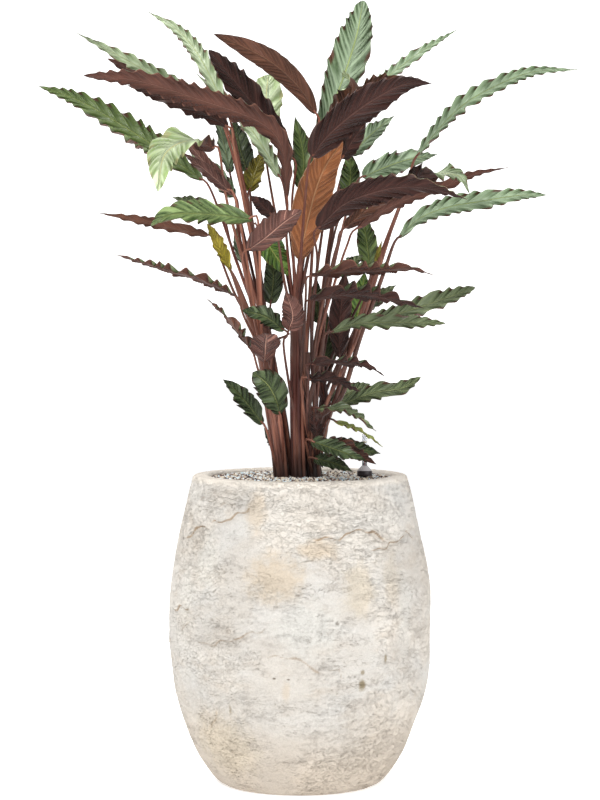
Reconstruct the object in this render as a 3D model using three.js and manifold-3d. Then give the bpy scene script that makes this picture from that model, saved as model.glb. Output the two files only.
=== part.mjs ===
// Wavestar calathea in a round stone-look planter, with granules on the soil and a water gauge.
// Millimetres, +Z up. The origin is the middle of the planter's flat foot, and -Y is the front.
import * as THREE from 'three';
import { mergeVertices } from 'three/addons/utils/BufferGeometryUtils.js';
import Module from 'manifold-3d';

const wasm = await Module();
wasm.setup();

// Driving dimensions
const potHeight = 430;
const potOutline = [[104, 0], [118, 7], [137, 33], [151.5, 61], [171, 116], [180.5, 172], [182, 215],
  [179, 283], [169.6, 339], [157.8, 394], [150, 424]];
const rimRounding = 6;
const wallThickness = 24;
const floorThickness = 25;
const cornerInset = 14;
const potSides = 28;
const potReliefDepth = 1.6;
const touchingGap = 0.3;
const mixTop = 402;
const granuleTop = 426;
const innerHeights = [45, 150, 270, mixTop];
const granuleBump = 1.5;
const granuleDome = 2;
const granuleRings = 7;
const bladeThickness = 0.9;
const bladeFold = 0.28;
const usualFullest = 0.38;
const bluntFullest = 0.6;
const fullShare = 0.53;
const roundness = 0.5;
const pointedness = 0.4;
const tipNarrowing = 0.25;
const leastHalfWidth = 1.2;
const waveHeight = 0.13;
const mostWaveHeight = 4.2;
const stalkTipRadius = 1.4;
const stalkWidening = 0.005;
const stalkMostRadius = 3;
// The leaves whose stalk is wrapped in a thick sheath up to the blade, and that sheath's radius
const sheathRadius = { yellowing: 5.2, arching_right: 3.4, long_right: 3.4, straight_right: 3.2 };
const sheathNarrowing = 3;
const stalkSides = 4;
const stalkStep = 115;
const stalkLead = 9;
const smallLeafRoot = 4;
const stalkStartBelow = 20;
const stalkStartBack = 0.2;
const stalkLeastSteps = 3;
const footRadius = 10;
const footDepth = 40;
const trunkFootRadius = 9.2;
const trunkTopRadius = 5.5;
const thickTrunkTop = 8.5;
const trunkSides = 7;
const trunkSink = 4;
const drillSides = 10;
const footRise = 3;
const drillOvershoot = 10;
const drillRadius = (footRadius + touchingGap) / Math.cos(Math.PI / drillSides);
const gaugePlace = [90, 0];
const gaugeSides = 10;
const gaugeTubeRadius = 3.5;
const gaugeTubeWall = 0.8;
const gaugeTubeTop = 487;
const gaugeTubeCap = 3;
const gaugeTubeRounding = 2;
const gaugeConeTop = 442;
const gaugeConeFoot = 435;
const gaugeCollarRadius = 10.5;
const gaugeCollarFoot = 428;
const gaugeShaftRadius = 5;
const gaugeShaftFoot = 60;
const floatRadius = 1.6;
const floatLength = 4;
const floatPinRadius = 0.6;
const floatPinLength = 24;

// The view that the leaves' places are measured in: the eye stands in front of the planter's axis.
// The listed depths are those of a flatter plant, and depthScale spreads it front to back.
const eyeDistance = 3500;
const eyeHeight = 690;
const depthScale = 1.4;

// The shoots: where each stands in the soil, as x and depth, and the way its sheathed trunk goes up
// to where its stalks part, as [x, height, depth] seen from the eye
const shoots = {
  left_front: { foot: [-25, -12], trunk: [[-32, 480, -16], [-46, 560, -18], [-55, 610, -20]] },
  left_back: { foot: [-22, 10], trunk: [[-24, 480, 13], [-36, 560, 14], [-47, 635, 14]] },
  centre_front: {
    foot: [-1, -17], trunk: [[-3, 500, -17], [-4, 600, -18], [-6, 660, -20]], top: thickTrunkTop,
  },
  centre_back: { foot: [-7, 28], trunk: [[2, 500, 24], [9, 600, 20]] },
  right_front: { foot: [20, -11], trunk: [[18, 470, -12], [22, 515, -13]] },
  right_back: { foot: [14, 16], trunk: [[28, 480, 15], [42, 525, 15]] },
};

// One leaf. Points are [x, height, depth] as seen from the eye: the stalk's between the soil and the
// blade, and the midrib's from the blade's base to its tip. The face angles run from base to tip:
// at 0 the green side looks to the front, at 90 upwards and at 180 away. The last value is the share
// of the length at which the blade is widest, and a blade that is widest near its tip ends bluntly.
function leaf(name, shoot, width, waves, face, stalk, midrib, fullest = usualFullest) {
  return { name, shoot, width, waves, face, stalk, midrib, fullest };
}

const largeLeaves = [
  // High on the left
  leaf('far_left', 'left_back', 37, 7, [30, 30], [[-75, 690, 36], [-113, 798, 52]],
    [[-135, 838, 60], [-215, 894, 85], [-300, 945, 110], [-361, 968, 124]], 0.48),
  leaf('nodding', 'left_front', 48, 5, [175, 60, 10, 5], [[-70, 690, -14], [-101, 808, -16]],
    [[-118, 882, -24], [-152, 893, -52], [-187, 874, -80], [-197, 823, -100]], 0.48),
  leaf('long_left', 'centre_front', 34, 9, [150, 145], [[-13, 700, -14], [-19, 765, -14]],
    [[-18, 812, -36], [-25, 884, -46], [-58, 920, -64], [-140, 950, -97], [-225, 976, -127],
      [-299, 983, -152]], 0.55),
  leaf('brown_left', 'left_front', 28, 5, [150, 150], [[-60, 715, -12], [-77, 805, -16], [-92, 886, -20]],
    [[-100, 912, -24], [-124, 927, -40], [-162, 945, -62], [-202, 959, -86], [-238, 969, -104]], 0.45),
  leaf('wavy_left', 'left_back', 23, 6, [25, 25], [[-60, 730, 4], [-87, 850, -2], [-108, 922, -10]],
    [[-118, 936, -16], [-187, 974, -48], [-240, 1004, -74], [-308, 1041, -100]]),
  leaf('brown_left_far', 'left_back', 28, 4, [155, 150], [[-58, 725, 9], [-85, 860, 8], [-101, 910, 8]],
    [[-112, 934, 8], [-180, 966, -12], [-230, 989, -28], [-266, 1006, -40]], 0.5),
  leaf('tall_left', 'left_back', 24, 6, [25, 20], [[-56, 715, 16], [-84, 865, 18]],
    [[-101, 932, 20], [-127, 987, 34], [-149, 1023, 60], [-173, 1048, 78], [-209, 1070, 100]]),
  leaf('slim_left', 'centre_back', 22, 5, [20, 20], [[-17, 790, 8]],
    [[-28, 842, 6], [-55, 890, 18], [-88, 934, 38], [-143, 985, 74]]),
  leaf('dark_left', 'centre_front', 39, 6, [165, 160], [[-11, 800, -10]],
    [[-10, 866, -10], [-27, 893, -16], [-63, 941, -34], [-98, 985, -56], [-126, 1018, -74]], 0.55),
  leaf('arch_left', 'centre_front', 31, 6, [175, 165], [[12, 800, -4], [24, 902, -4]],
    [[22, 930, -4], [0, 965, 0], [-35, 998, 8], [-75, 1021, 18], [-119, 1040, 28]], 0.5),
  leaf('pale_middle', 'centre_back', 50, 4, [10, 10], [[-32, 780, 40]],
    [[-48, 880, 52], [-48, 935, 76], [-44, 984, 104]], 0.62),
  // High in the middle and on the right
  leaf('tallest', 'centre_back', 54, 6, [10, 15], [[20, 800, 20]],
    [[24, 905, 24], [46, 945, 40], [66, 997, 62], [80, 1045, 82], [87, 1086, 98]], 0.58),
  leaf('upright_centre', 'centre_back', 29, 3, [5, 5], [[-3, 760, 18]],
    [[1, 826, 22], [5, 870, 32], [-7, 926, 42]]),
  leaf('broad_right', 'centre_front', 45, 7, [170, 160], [[0, 720, -36], [6, 800, -44]],
    [[17, 870, -48], [36, 897, -62], [76, 932, -92], [118, 959, -122], [150, 972, -142],
      [182, 972, -160]]),
  leaf('copper', 'centre_front', 49, 3, [178, 175], [[-4, 690, -24]],
    [[-1, 728, -28], [7, 765, -29], [19, 815, -29], [34, 855, -30], [59, 892, -36]], 0.5),
  leaf('high_right', 'right_back', 17, 5, [25, 25],
    [[22, 580, 18], [37, 700, 20], [50, 800, 18], [78, 915, 12]],
    [[92, 960, 16], [125, 984, 42], [165, 1014, 70], [217, 1046, 104]]),
  leaf('arching_right', 'right_back', 24, 8, [60, 30, 20],
    [[50, 538, 16], [75, 622, 18], [108, 722, 14], [146, 824, 6]],
    [[163, 872, 2], [190, 906, -4], [222, 939, -16], [262, 964, -32], [320, 987, -58], [384, 991, -88]]),
  leaf('pointing_right', 'right_back', 26, 4, [20, 20], [[26, 620, 20], [46, 790, 26]],
    [[70, 872, 30], [100, 903, 44], [130, 927, 58]]),
  leaf('pale_right', 'right_front', 31, 6, [15, 10], [[25, 560, -8], [39, 680, -10], [66, 800, -6]],
    [[87, 842, 0], [115, 855, 16], [150, 867, 32], [190, 874, 48]]),
  leaf('turning_right', 'right_front', 31, 5, [165, 150, 40, 20],
    [[33, 520, -11], [75, 610, -14], [112, 722, -12], [136, 800, -12]],
    [[150, 835, -20], [170, 845, -50], [198, 848, -80], [222, 842, -96], [235, 820, -106]]),
  leaf('slender_right', 'right_front', 19, 6, [150, 140],
    [[22, 600, -12], [53, 712, -22], [66, 750, -30]],
    [[80, 772, -38], [118, 798, -38], [160, 817, -34], [198, 829, -32], [240, 846, -38], [288, 856, -48]]),
  leaf('dark_right', 'right_front', 37, 7, [165, 160, 120], [[16, 640, -22], [24, 725, -36]],
    [[25, 771, -54], [58, 803, -71], [95, 819, -87], [140, 829, -104], [185, 826, -118],
      [232, 812, -132]], 0.36),
  leaf('copper_right', 'right_front', 20, 4, [160, 160], [[19, 600, -14], [44, 720, -28], [52, 750, -38]],
    [[62, 772, -48], [100, 803, -61], [150, 828, -76]]),
  leaf('long_right', 'right_front', 26, 8, [25, 20], [[57, 538, -4], [84, 622, -6], [114, 704, -10]],
    [[137, 758, -12], [165, 785, -20], [205, 801, -32], [250, 809, -46], [300, 817, -62],
      [341, 818, -75]], 0.52),
  // Half-way up on the right
  leaf('upright_right', 'right_back', 28, 3, [0, 10], [[30, 560, 22], [88, 680, 22]],
    [[97, 717, 24], [93, 750, 30], [86, 795, 36]]),
  leaf('edge_right_upper', 'right_front', 27, 6, [118, 112], [[6, 560, -20], [8, 680, -40]],
    [[17, 705, -50], [60, 712, -68], [110, 713, -86], [150, 716, -102], [186, 707, -114]]),
  leaf('edge_right_lower', 'right_front', 33, 6, [118, 115], [[2, 560, -24], [7, 655, -42]],
    [[15, 672, -50], [60, 680, -68], [105, 678, -88], [145, 668, -108], [172, 661, -122]]),
  leaf('level_right', 'right_back', 29, 6, [35, 30], [[30, 540, 22], [55, 610, 34]],
    [[68, 641, 40], [120, 649, 52], [180, 667, 70], [243, 690, 94]], 0.6),
  leaf('straight_right', 'right_front', 24, 6, [40, 35], [[12, 520, -18], [30, 600, -28]],
    [[42, 627, -32], [80, 640, -42], [130, 641, -54], [202, 640, -72]], 0.52),
  leaf('dark_upright', 'right_back', 30, 3, [178, 178], [[30, 500, 12], [49, 565, 6]],
    [[55, 592, 4], [56, 650, 5], [63, 710, 5]], 0.5),
  leaf('striped_upright', 'right_back', 34, 3, [0, 0], [[32, 500, 30], [60, 590, 58]],
    [[76, 632, 66], [84, 672, 72], [90, 712, 76]]),
  // Half-way up on the left
  leaf('broad_left', 'left_front', 37, 6, [40, 40], [[-55, 690, -30]],
    [[-66, 784, -42], [-115, 790, -64], [-160, 792, -86], [-186, 788, -98], [-207, 775, -106]], 0.52),
  leaf('ribbed_centre', 'left_front', 40, 6, [150, 150], [[-75, 700, -44]],
    [[-73, 741, -54], [-50, 757, -64], [-22, 780, -76], [2, 797, -86]], 0.5),
  leaf('thin_left', 'left_back', 16, 6, [150, 150], [[-85, 670, 4], [-114, 742, 4]],
    [[-127, 762, 6], [-160, 769, 8], [-220, 782, 14], [-278, 793, 22]]),
  leaf('yellowing', 'left_front', 27, 3, [60, 50], [[-62, 625, -12], [-78, 668, -16]],
    [[-96, 712, -22], [-112, 742, -30], [-129, 778, -40]], 0.5),
  leaf('edge_left_upper', 'left_front', 28, 6, [102, 100], [[-78, 650, -24]],
    [[-92, 678, -28], [-130, 696, -48], [-200, 718, -80], [-258, 736, -108]]),
  leaf('edge_left_lower', 'left_front', 24, 5, [110, 105], [[-40, 530, -26], [-58, 575, -34]],
    [[-69, 604, -42], [-97, 642, -64], [-130, 675, -84]]),
  leaf('ribbed_low', 'left_front', 40, 4, [172, 175], [[-34, 520, -24], [-46, 565, -34]],
    [[-49, 585, -42], [-48, 606, -62], [-46, 626, -88]], 0.55),
  leaf('dark_left_middle', 'left_front', 25, 4, [30, 20], [[-36, 610, -36]],
    [[-22, 630, -42], [-48, 649, -50], [-80, 658, -60]], 0.5),
  leaf('rosy_centre', 'centre_front', 30, 3, [170, 165], [[-16, 560, -30], [-23, 612, -42]],
    [[-16, 630, -50], [-10, 652, -54], [-20, 685, -60]]),
  leaf('dark_centre', 'left_back', 26, 3, [5, 5], [[-44, 648, 8]],
    [[-41, 667, 4], [-37, 705, 5], [-42, 745, 6]]),
  leaf('drooping_centre', 'left_back', 34, 3, [10, 10], [[-60, 735, 0], [-66, 770, -4]],
    [[-58, 772, -8], [-38, 740, -4], [-14, 705, 2]]),
  // Low
  leaf('low_left', 'left_front', 24, 5, [20, 25], [[-36, 452, -22]],
    [[-52, 500, -34], [-70, 524, -44], [-90, 547, -58], [-107, 562, -72]], 0.45),
  leaf('low_left_broad', 'left_front', 40, 5, [10, 5], [[-24, 470, -26]],
    [[-28, 513, -44], [-34, 535, -54], [-46, 556, -66], [-66, 572, -78]], 0.58),
  leaf('edge_low_right', 'right_front', 25, 5, [115, 112], [[10, 500, -30], [12, 565, -42]],
    [[16, 583, -48], [50, 585, -66], [90, 581, -86], [119, 566, -100]]),
  leaf('low_right', 'right_front', 24, 5, [25, 30], [[30, 480, -16]],
    [[55, 526, -22], [100, 543, -36], [142, 550, -50], [168, 565, -62]], 0.55),
  leaf('low_ruffled', 'right_front', 24, 5, [30, 30], [[12, 455, -28]],
    [[16, 476, -48], [45, 466, -62], [92, 449, -84]]),
];

// Small leaves stay joined to their shoot
const smallLeaves = [
  leaf('narrow_left', 'left_back', 20, 2, [30, 30], [[-84, 790, 22]],
    [[-97, 848, 28], [-106, 890, 34], [-117, 935, 40]]),
  leaf('dark_behind_left', 'left_back', 32, 2, [5, 5], [[-64, 760, 42]],
    [[-73, 850, 62], [-84, 885, 74], [-92, 923, 90]]),
  leaf('olive_left', 'left_back', 26, 2, [20, 20], [[-64, 770, 22]],
    [[-70, 822, 26], [-62, 850, 32], [-50, 880, 38]]),
  leaf('folded_left', 'left_back', 18, 2, [155, 150], [[-84, 760, 0]],
    [[-95, 818, -2], [-128, 858, -6], [-173, 912, -10]]),
  leaf('rosy_left', 'left_front', 18, 2, [160, 160], [[-76, 740, -14]],
    [[-97, 822, -18], [-128, 850, -26], [-163, 877, -36]]),
  leaf('grey_left', 'left_back', 24, 2, [20, 20], [[-80, 740, 12]],
    [[-92, 815, 14], [-122, 850, 20], [-155, 882, 28]]),
  leaf('small_left', 'left_back', 20, 2, [30, 30], [[-90, 730, 26]],
    [[-112, 788, 30], [-140, 804, 34], [-177, 815, 40]]),
  leaf('small_burgundy', 'centre_front', 20, 2, [170, 170], [[-20, 690, -18], [-31, 765, -22]],
    [[-38, 789, -26], [-53, 804, -28], [-69, 817, -32]]),
  leaf('rolled_top', 'centre_front', 36, 3, [172, 168, 150, 35], [[29, 820, -6]],
    [[46, 900, -12], [60, 935, -18], [72, 966, -27], [60, 990, -38]], 0.5),
  leaf('burgundy_right', 'right_front', 26, 2, [175, 170], [[17, 640, -6], [36, 800, -6]],
    [[58, 868, -8], [72, 892, -12], [92, 920, -20]]),
  leaf('short_upright', 'right_back', 27, 2, [0, 10], [[28, 640, 16], [48, 765, 14]],
    [[66, 812, 12], [70, 845, 14], [68, 880, 14]]),
  leaf('spear', 'right_back', 7, 1, [0, 0], [[34, 540, 17], [92, 660, 20]],
    [[104, 715, 14], [108, 735, 12], [114, 756, 10]]),
  leaf('small_right', 'right_back', 22, 2, [20, 20], [[28, 560, 18], [44, 660, 18]],
    [[55, 706, 16], [72, 722, 14], [87, 735, 12]]),
  leaf('short_right', 'right_back', 20, 2, [20, 20], [[34, 540, 44], [70, 620, 66]],
    [[92, 660, 84], [112, 678, 92], [133, 693, 100]]),
  leaf('green_behind', 'right_back', 20, 2, [5, 5], [[24, 560, 24]],
    [[26, 640, 28], [23, 672, 32], [22, 705, 34]]),
  leaf('dark_behind', 'right_back', 28, 2, [5, 5], [[26, 500, 24]],
    [[31, 560, 32], [36, 610, 36], [38, 655, 40]]),
  leaf('low_burgundy', 'right_front', 20, 2, [130, 130], [[8, 500, -24]],
    [[10, 562, -36], [45, 562, -48], [84, 545, -64]]),
  leaf('low_back', 'right_back', 26, 2, [20, 20], [[28, 480, 16]],
    [[45, 528, 20], [70, 545, 28], [98, 556, 38]]),
  leaf('thin_low', 'right_front', 20, 3, [70, 70], [[16, 480, -22]],
    [[24, 521, -32], [64, 518, -46], [106, 490, -64]]),
  leaf('yellow_low', 'right_front', 15, 3, [70, 60], [[30, 478, -20]],
    [[47, 504, -28], [85, 489, -40], [115, 468, -52]]),
  leaf('burgundy_low', 'right_front', 22, 2, [150, 150], [[24, 460, -22]],
    [[38, 477, -34], [70, 463, -44], [106, 444, -54]]),
  leaf('green_low', 'right_front', 22, 2, [20, 20], [[28, 455, -18]],
    [[50, 474, -22], [80, 465, -26], [112, 459, -30]]),
  leaf('curled_behind', 'centre_front', 22, 3, [140, 120], [[10, 760, -8], [40, 850, -6]],
    [[68, 920, -24], [88, 958, -50], [112, 975, -76], [152, 977, -110]], 0.5),
  leaf('green_between', 'left_back', 13, 2, [20, 20], [[-66, 690, 6]],
    [[-80, 724, 4], [-87, 750, 2], [-88, 775, 0]]),
  leaf('burgundy_beside', 'right_front', 18, 3, [165, 160], [[18, 462, -24]],
    [[25, 478, -32], [22, 496, -38], [15, 514, -42]]),
  leaf('green_low_left', 'left_back', 20, 3, [20, 20], [[-20, 450, 20]],
    [[-22, 461, 24], [-36, 476, 28], [-50, 494, 30]]),
  leaf('lowest', 'right_front', 20, 2, [25, 25], [[14, 444, -22]],
    [[20, 452, -36], [45, 446, -48], [73, 434, -60]]),
];

const finishes = {
  pot: new THREE.MeshStandardMaterial({ color: '#e0d8ca', roughness: 0.95, metalness: 0 }),
  mix: new THREE.MeshStandardMaterial({ color: '#3f3128', roughness: 1, metalness: 0 }),
  granules: new THREE.MeshStandardMaterial({ color: '#b9b2a8', roughness: 1, metalness: 0 }),
  stalk: new THREE.MeshStandardMaterial({ color: '#6b3a30', roughness: 0.55, metalness: 0 }),
  leaf: new THREE.MeshStandardMaterial({ color: '#6f8f66', roughness: 0.5, metalness: 0 }),
  clear: new THREE.MeshStandardMaterial({ color: '#dfe2e6', roughness: 0.15, metalness: 0 }),
  collar: new THREE.MeshStandardMaterial({ color: '#2b2528', roughness: 0.45, metalness: 0 }),
  float: new THREE.MeshStandardMaterial({ color: '#b3261c', roughness: 0.5, metalness: 0 }),
};

// Solids

function solidOf(geometry) {
  const bare = geometry.clone();
  bare.deleteAttribute('normal');
  bare.deleteAttribute('uv');
  const merged = mergeVertices(bare, 1e-4);
  const mesh = new wasm.Mesh({
    numProp: 3,
    vertProperties: new Float32Array(merged.attributes.position.array),
    triVerts: new Uint32Array(merged.index.array),
  });
  return new wasm.Manifold(mesh);
}

function geometryOf(solid) {
  const mesh = solid.getMesh();
  return geometryFrom(Array.from(mesh.vertProperties), Array.from(mesh.triVerts));
}

function geometryFrom(positions, faces) {
  const geometry = new THREE.BufferGeometry();
  geometry.setAttribute('position', new THREE.Float32BufferAttribute(positions, 3));
  geometry.setIndex(faces);
  geometry.computeVertexNormals();
  return geometry;
}

function turned(profile, sides) {
  const points = profile.map(([radius, height]) => new THREE.Vector2(radius, height));
  return new THREE.LatheGeometry(points, sides).rotateX(Math.PI / 2);
}

function rod(radius, foot, top, x, y, sides) {
  const geometry = new THREE.CylinderGeometry(radius, radius, top - foot, sides);
  return geometry.rotateX(Math.PI / 2).translate(x, y, (foot + top) / 2);
}

// Planter

const potPoints = potOutline.map(([radius, height]) => new THREE.Vector2(radius, height));
const potCurve = new THREE.SplineCurve(potPoints);

function potRadius(height) {
  const samples = potCurve.getPoints(120);
  const above = samples.findIndex((point) => point.y >= height);
  if (above < 0) {
    return samples.at(-1).x;
  }
  if (above === 0) {
    return samples[0].x;
  }
  const low = samples[above - 1];
  const share = (height - low.y) / (samples[above].y - low.y);
  return low.x + share * (samples[above].x - low.x);
}

function innerRadius(height) {
  return potRadius(height) - wallThickness;
}

function rolledClay(angle, height) {
  const bands = Math.sin(height / 23 + 2.2 * Math.sin(angle + height / 140));
  const patches = Math.sin(3 * angle + height / 60) * Math.sin(5 * angle - height / 37);
  const fade = Math.sin(Math.PI * THREE.MathUtils.clamp(height / potHeight, 0, 1));
  return potReliefDepth * fade * (0.6 * bands + 0.7 * patches);
}

function potGeometry() {
  const rows = [[0, 0], [potOutline[0][0], 0]];
  const outerHeights = [7, 33, 75, 125, 175, 225, 280, 335, 385];
  for (const height of outerHeights) {
    rows.push([potRadius(height), height]);
  }
  const shoulder = potHeight - rimRounding;
  const rimOut = potRadius(shoulder);
  const rimIn = rimOut - wallThickness;
  rows.push([rimOut, shoulder], [rimOut - rimRounding, potHeight]);
  rows.push([rimIn + rimRounding, potHeight], [rimIn, shoulder]);
  for (const height of innerHeights.toReversed()) {
    rows.push([innerRadius(height), height]);
  }
  rows.push([innerRadius(innerHeights[0]) - cornerInset, floorThickness], [0, floorThickness]);
  const geometry = turned(rows, potSides);
  const position = geometry.attributes.position;
  for (let index = 0; index < position.count; index += 1) {
    const x = position.getX(index);
    const y = position.getY(index);
    const z = position.getZ(index);
    const radius = Math.hypot(x, y);
    if (z > 7 && z < shoulder && radius > potRadius(z) - wallThickness / 2) {
      const scale = 1 + rolledClay(Math.atan2(y, x), z) / radius;
      position.setXY(index, x * scale, y * scale);
    }
  }
  return geometry;
}

// Filling

function holes(bottom, top) {
  const shaftHole = gaugeShaftRadius + touchingGap;
  const drills = [rod(shaftHole, gaugeShaftFoot - touchingGap, top, ...gaugePlace, gaugeSides)];
  for (const { foot } of Object.values(shoots)) {
    drills.push(rod(drillRadius, bottom, top, ...foot, drillSides));
  }
  return drills;
}

function drilled(geometry, drills) {
  let solid = solidOf(geometry);
  for (const drill of drills) {
    solid = solid.subtract(solidOf(drill));
  }
  return geometryOf(solid);
}

function mixGeometry() {
  const foot = floorThickness + touchingGap;
  const rows = [[0, foot], [innerRadius(innerHeights[0]) - cornerInset - 2 * touchingGap, foot]];
  for (const height of innerHeights) {
    rows.push([innerRadius(height) - 2 * touchingGap, height]);
  }
  rows.push([0, mixTop]);
  return drilled(turned(rows, potSides), holes(mixTop - footDepth, mixTop + drillOvershoot));
}

function granuleGeometry() {
  const foot = mixTop + touchingGap;
  const rim = potRadius(potHeight - rimRounding) - wallThickness - 2 * touchingGap;
  const rows = [[0, foot], [rim, foot]];
  for (let ring = granuleRings; ring >= 0; ring -= 1) {
    rows.push([rim * ring / granuleRings, granuleTop - granuleDome]);
  }
  const geometry = turned(rows, potSides);
  const position = geometry.attributes.position;
  for (let index = 0; index < position.count; index += 1) {
    const x = position.getX(index);
    const y = position.getY(index);
    if (position.getZ(index) > foot + 1) {
      const lumps = Math.sin(x * 0.53 + Math.sin(y * 0.31)) * Math.sin(y * 0.47 + 1.3 * Math.sin(x * 0.23));
      const sink = granuleDome * (x * x + y * y) / (rim * rim);
      position.setZ(index, granuleTop - sink + granuleBump * lumps);
    }
  }
  return drilled(geometry, holes(mixTop - drillOvershoot, granuleTop + drillOvershoot));
}

// Water gauge

function gaugeParts() {
  const [x, y] = gaugePlace;
  const bore = gaugeTubeRadius - gaugeTubeWall;
  const tubeFoot = gaugeConeTop + touchingGap;
  const capFoot = gaugeTubeTop - gaugeTubeCap;
  const tube = [[bore, tubeFoot], [gaugeTubeRadius, tubeFoot],
    [gaugeTubeRadius, gaugeTubeTop - gaugeTubeRounding], [gaugeTubeRadius - gaugeTubeRounding, gaugeTubeTop],
    [0, gaugeTubeTop], [0, capFoot], [bore, capFoot], [bore, tubeFoot]];
  const cone = [[0, gaugeConeFoot], [gaugeCollarRadius - 0.5, gaugeConeFoot],
    [gaugeTubeRadius + gaugeTubeWall, gaugeConeTop], [0, gaugeConeTop]];
  const collarTop = gaugeConeFoot - touchingGap;
  const collar = [[0, gaugeShaftFoot], [gaugeShaftRadius, gaugeShaftFoot],
    [gaugeShaftRadius, gaugeCollarFoot],
    [gaugeCollarRadius - 1, gaugeCollarFoot], [gaugeCollarRadius, gaugeCollarFoot + 1],
    [gaugeCollarRadius, collarTop], [0, collarTop]];
  const pinFoot = tubeFoot + floatLength;
  const pinTop = tubeFoot + floatPinLength;
  const float = [[0, tubeFoot], [floatRadius, tubeFoot], [floatRadius, pinFoot],
    [floatPinRadius, pinFoot + 1], [floatPinRadius, pinTop], [0, pinTop]];
  return {
    gauge_tube: [turned(tube, gaugeSides).translate(x, y, 0), finishes.clear],
    gauge_cone: [turned(cone, gaugeSides).translate(x, y, 0), finishes.clear],
    gauge_collar: [turned(collar, gaugeSides).translate(x, y, 0), finishes.collar],
    gauge_float: [turned(float, 6).translate(x, y, 0), finishes.float],
  };
}

// Leaves

function sight([x, height, depth]) {
  const back = depth * depthScale;
  const spread = (eyeDistance + back) / eyeDistance;
  return new THREE.Vector3(x * spread, back, eyeHeight + (height - eyeHeight) * spread);
}

function curveThrough(points) {
  return new THREE.CatmullRomCurve3(points, false, 'catmullrom', 0.5);
}

function faceAngle(face, along) {
  const place = along * (face.length - 1);
  const low = Math.min(Math.floor(place), face.length - 2);
  return THREE.MathUtils.degToRad(THREE.MathUtils.lerp(face[low], face[low + 1], place - low));
}

function halfWidth({ width, fullest }, along) {
  const bend = Math.log(0.5) / Math.log(fullest);
  const pointed = (bluntFullest - fullest) / (bluntFullest - usualFullest);
  const power = roundness + pointedness * THREE.MathUtils.clamp(pointed, 0, 1) * along * along;
  const rounded = Math.max(Math.sin(Math.PI * along ** bend), 0) ** power;
  return Math.max(fullShare * width * rounded * (1 - tipNarrowing * along ** 4), leastHalfWidth);
}

function bladeFrame(curve, face, along) {
  const point = curve.getPointAt(along);
  const forward = curve.getTangentAt(along);
  const front = new THREE.Vector3(0, -1, 0);
  front.addScaledVector(forward, -forward.dot(front)).normalize();
  const leansLeft = curve.points.at(-1).x < curve.points[0].x;
  const upward = new THREE.Vector3().crossVectors(forward, front).multiplyScalar(leansLeft ? 1 : -1);
  const angle = faceAngle(face, along);
  const facing = front.multiplyScalar(Math.cos(angle)).addScaledVector(upward, Math.sin(angle));
  const across = new THREE.Vector3().crossVectors(facing, forward);
  return { point, facing, across };
}

function bladeGeometry(spec) {
  const curve = curveThrough(spec.midrib.map(sight));
  const steps = 2 * spec.waves + 1;
  const positions = [];
  for (let step = 0; step <= steps; step += 1) {
    const along = step / steps;
    const { point, facing, across } = bladeFrame(curve, spec.face, along);
    const half = halfWidth(spec, along);
    const crest = step % 2 === 0 ? -1 : 1;
    const wave = crest * Math.min(waveHeight * half * 2, mostWaveHeight) * (half > 2 ? 1 : 0);
    for (const skin of [0.5, -0.5]) {
      for (const side of [-1, 0, 1]) {
        const lift = skin * bladeThickness + Math.abs(side) * (bladeFold * half + wave);
        const corner = point.clone().addScaledVector(across, side * half).addScaledVector(facing, lift);
        positions.push(corner.x, corner.y, corner.z);
      }
    }
  }
  return geometryFrom(positions, bladeFaces(steps));
}

function bladeFaces(steps) {
  const faces = [];
  const top = (step, column) => step * 6 + column;
  const under = (step, column) => step * 6 + 3 + column;
  for (let step = 0; step < steps; step += 1) {
    const next = step + 1;
    for (const [rim, rib] of [[0, 1], [2, 1]]) {
      for (const [skin, flip] of [[top, rim === 2], [under, rim === 0]]) {
        const first = [skin(step, rim), skin(next, rim), skin(step, rib)];
        const second = [skin(next, rim), skin(next, rib), skin(step, rib)];
        for (const face of [first, second]) {
          faces.push(...(flip ? face.reverse() : face));
        }
      }
    }
    faces.push(under(step, 0), under(next, 0), top(step, 0), under(next, 0), top(next, 0), top(step, 0));
    faces.push(under(step, 2), top(step, 2), under(next, 2), top(step, 2), top(next, 2), under(next, 2));
  }
  for (const column of [0, 1]) {
    const beside = column + 1;
    faces.push(under(0, column), top(0, column), under(0, beside));
    faces.push(top(0, column), top(0, beside), under(0, beside));
    faces.push(under(steps, column), under(steps, beside), top(steps, column));
    faces.push(top(steps, column), under(steps, beside), top(steps, beside));
  }
  return faces;
}

// Stalks

function tubeGeometry(curve, steps, sides, radiusAt) {
  const positions = [];
  const faces = [];
  for (let step = 0; step <= steps; step += 1) {
    const along = step / steps;
    const point = curve.getPointAt(along);
    const forward = curve.getTangentAt(along);
    const side = new THREE.Vector3(1, 0, 0);
    side.addScaledVector(forward, -forward.dot(side)).normalize();
    const other = new THREE.Vector3().crossVectors(forward, side);
    for (let corner = 0; corner < sides; corner += 1) {
      const angle = 2 * Math.PI * corner / sides;
      const place = point.clone().addScaledVector(side, radiusAt(along) * Math.cos(angle));
      place.addScaledVector(other, radiusAt(along) * Math.sin(angle));
      positions.push(place.x, place.y, place.z);
      const beside = (corner + 1) % sides;
      if (step < steps) {
        const [a, b] = [step * sides + corner, step * sides + beside];
        faces.push(a, b, a + sides, b, b + sides, a + sides);
      }
    }
  }
  const last = steps * sides;
  for (let corner = 1; corner < sides - 1; corner += 1) {
    faces.push(0, corner + 1, corner);
    faces.push(last, last + corner, last + corner + 1);
  }
  return geometryFrom(positions, faces);
}

function trunkPoints({ foot: [x, y], trunk }) {
  return [new THREE.Vector3(x, y, granuleTop - trunkSink), ...trunk.map(sight)];
}

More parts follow.
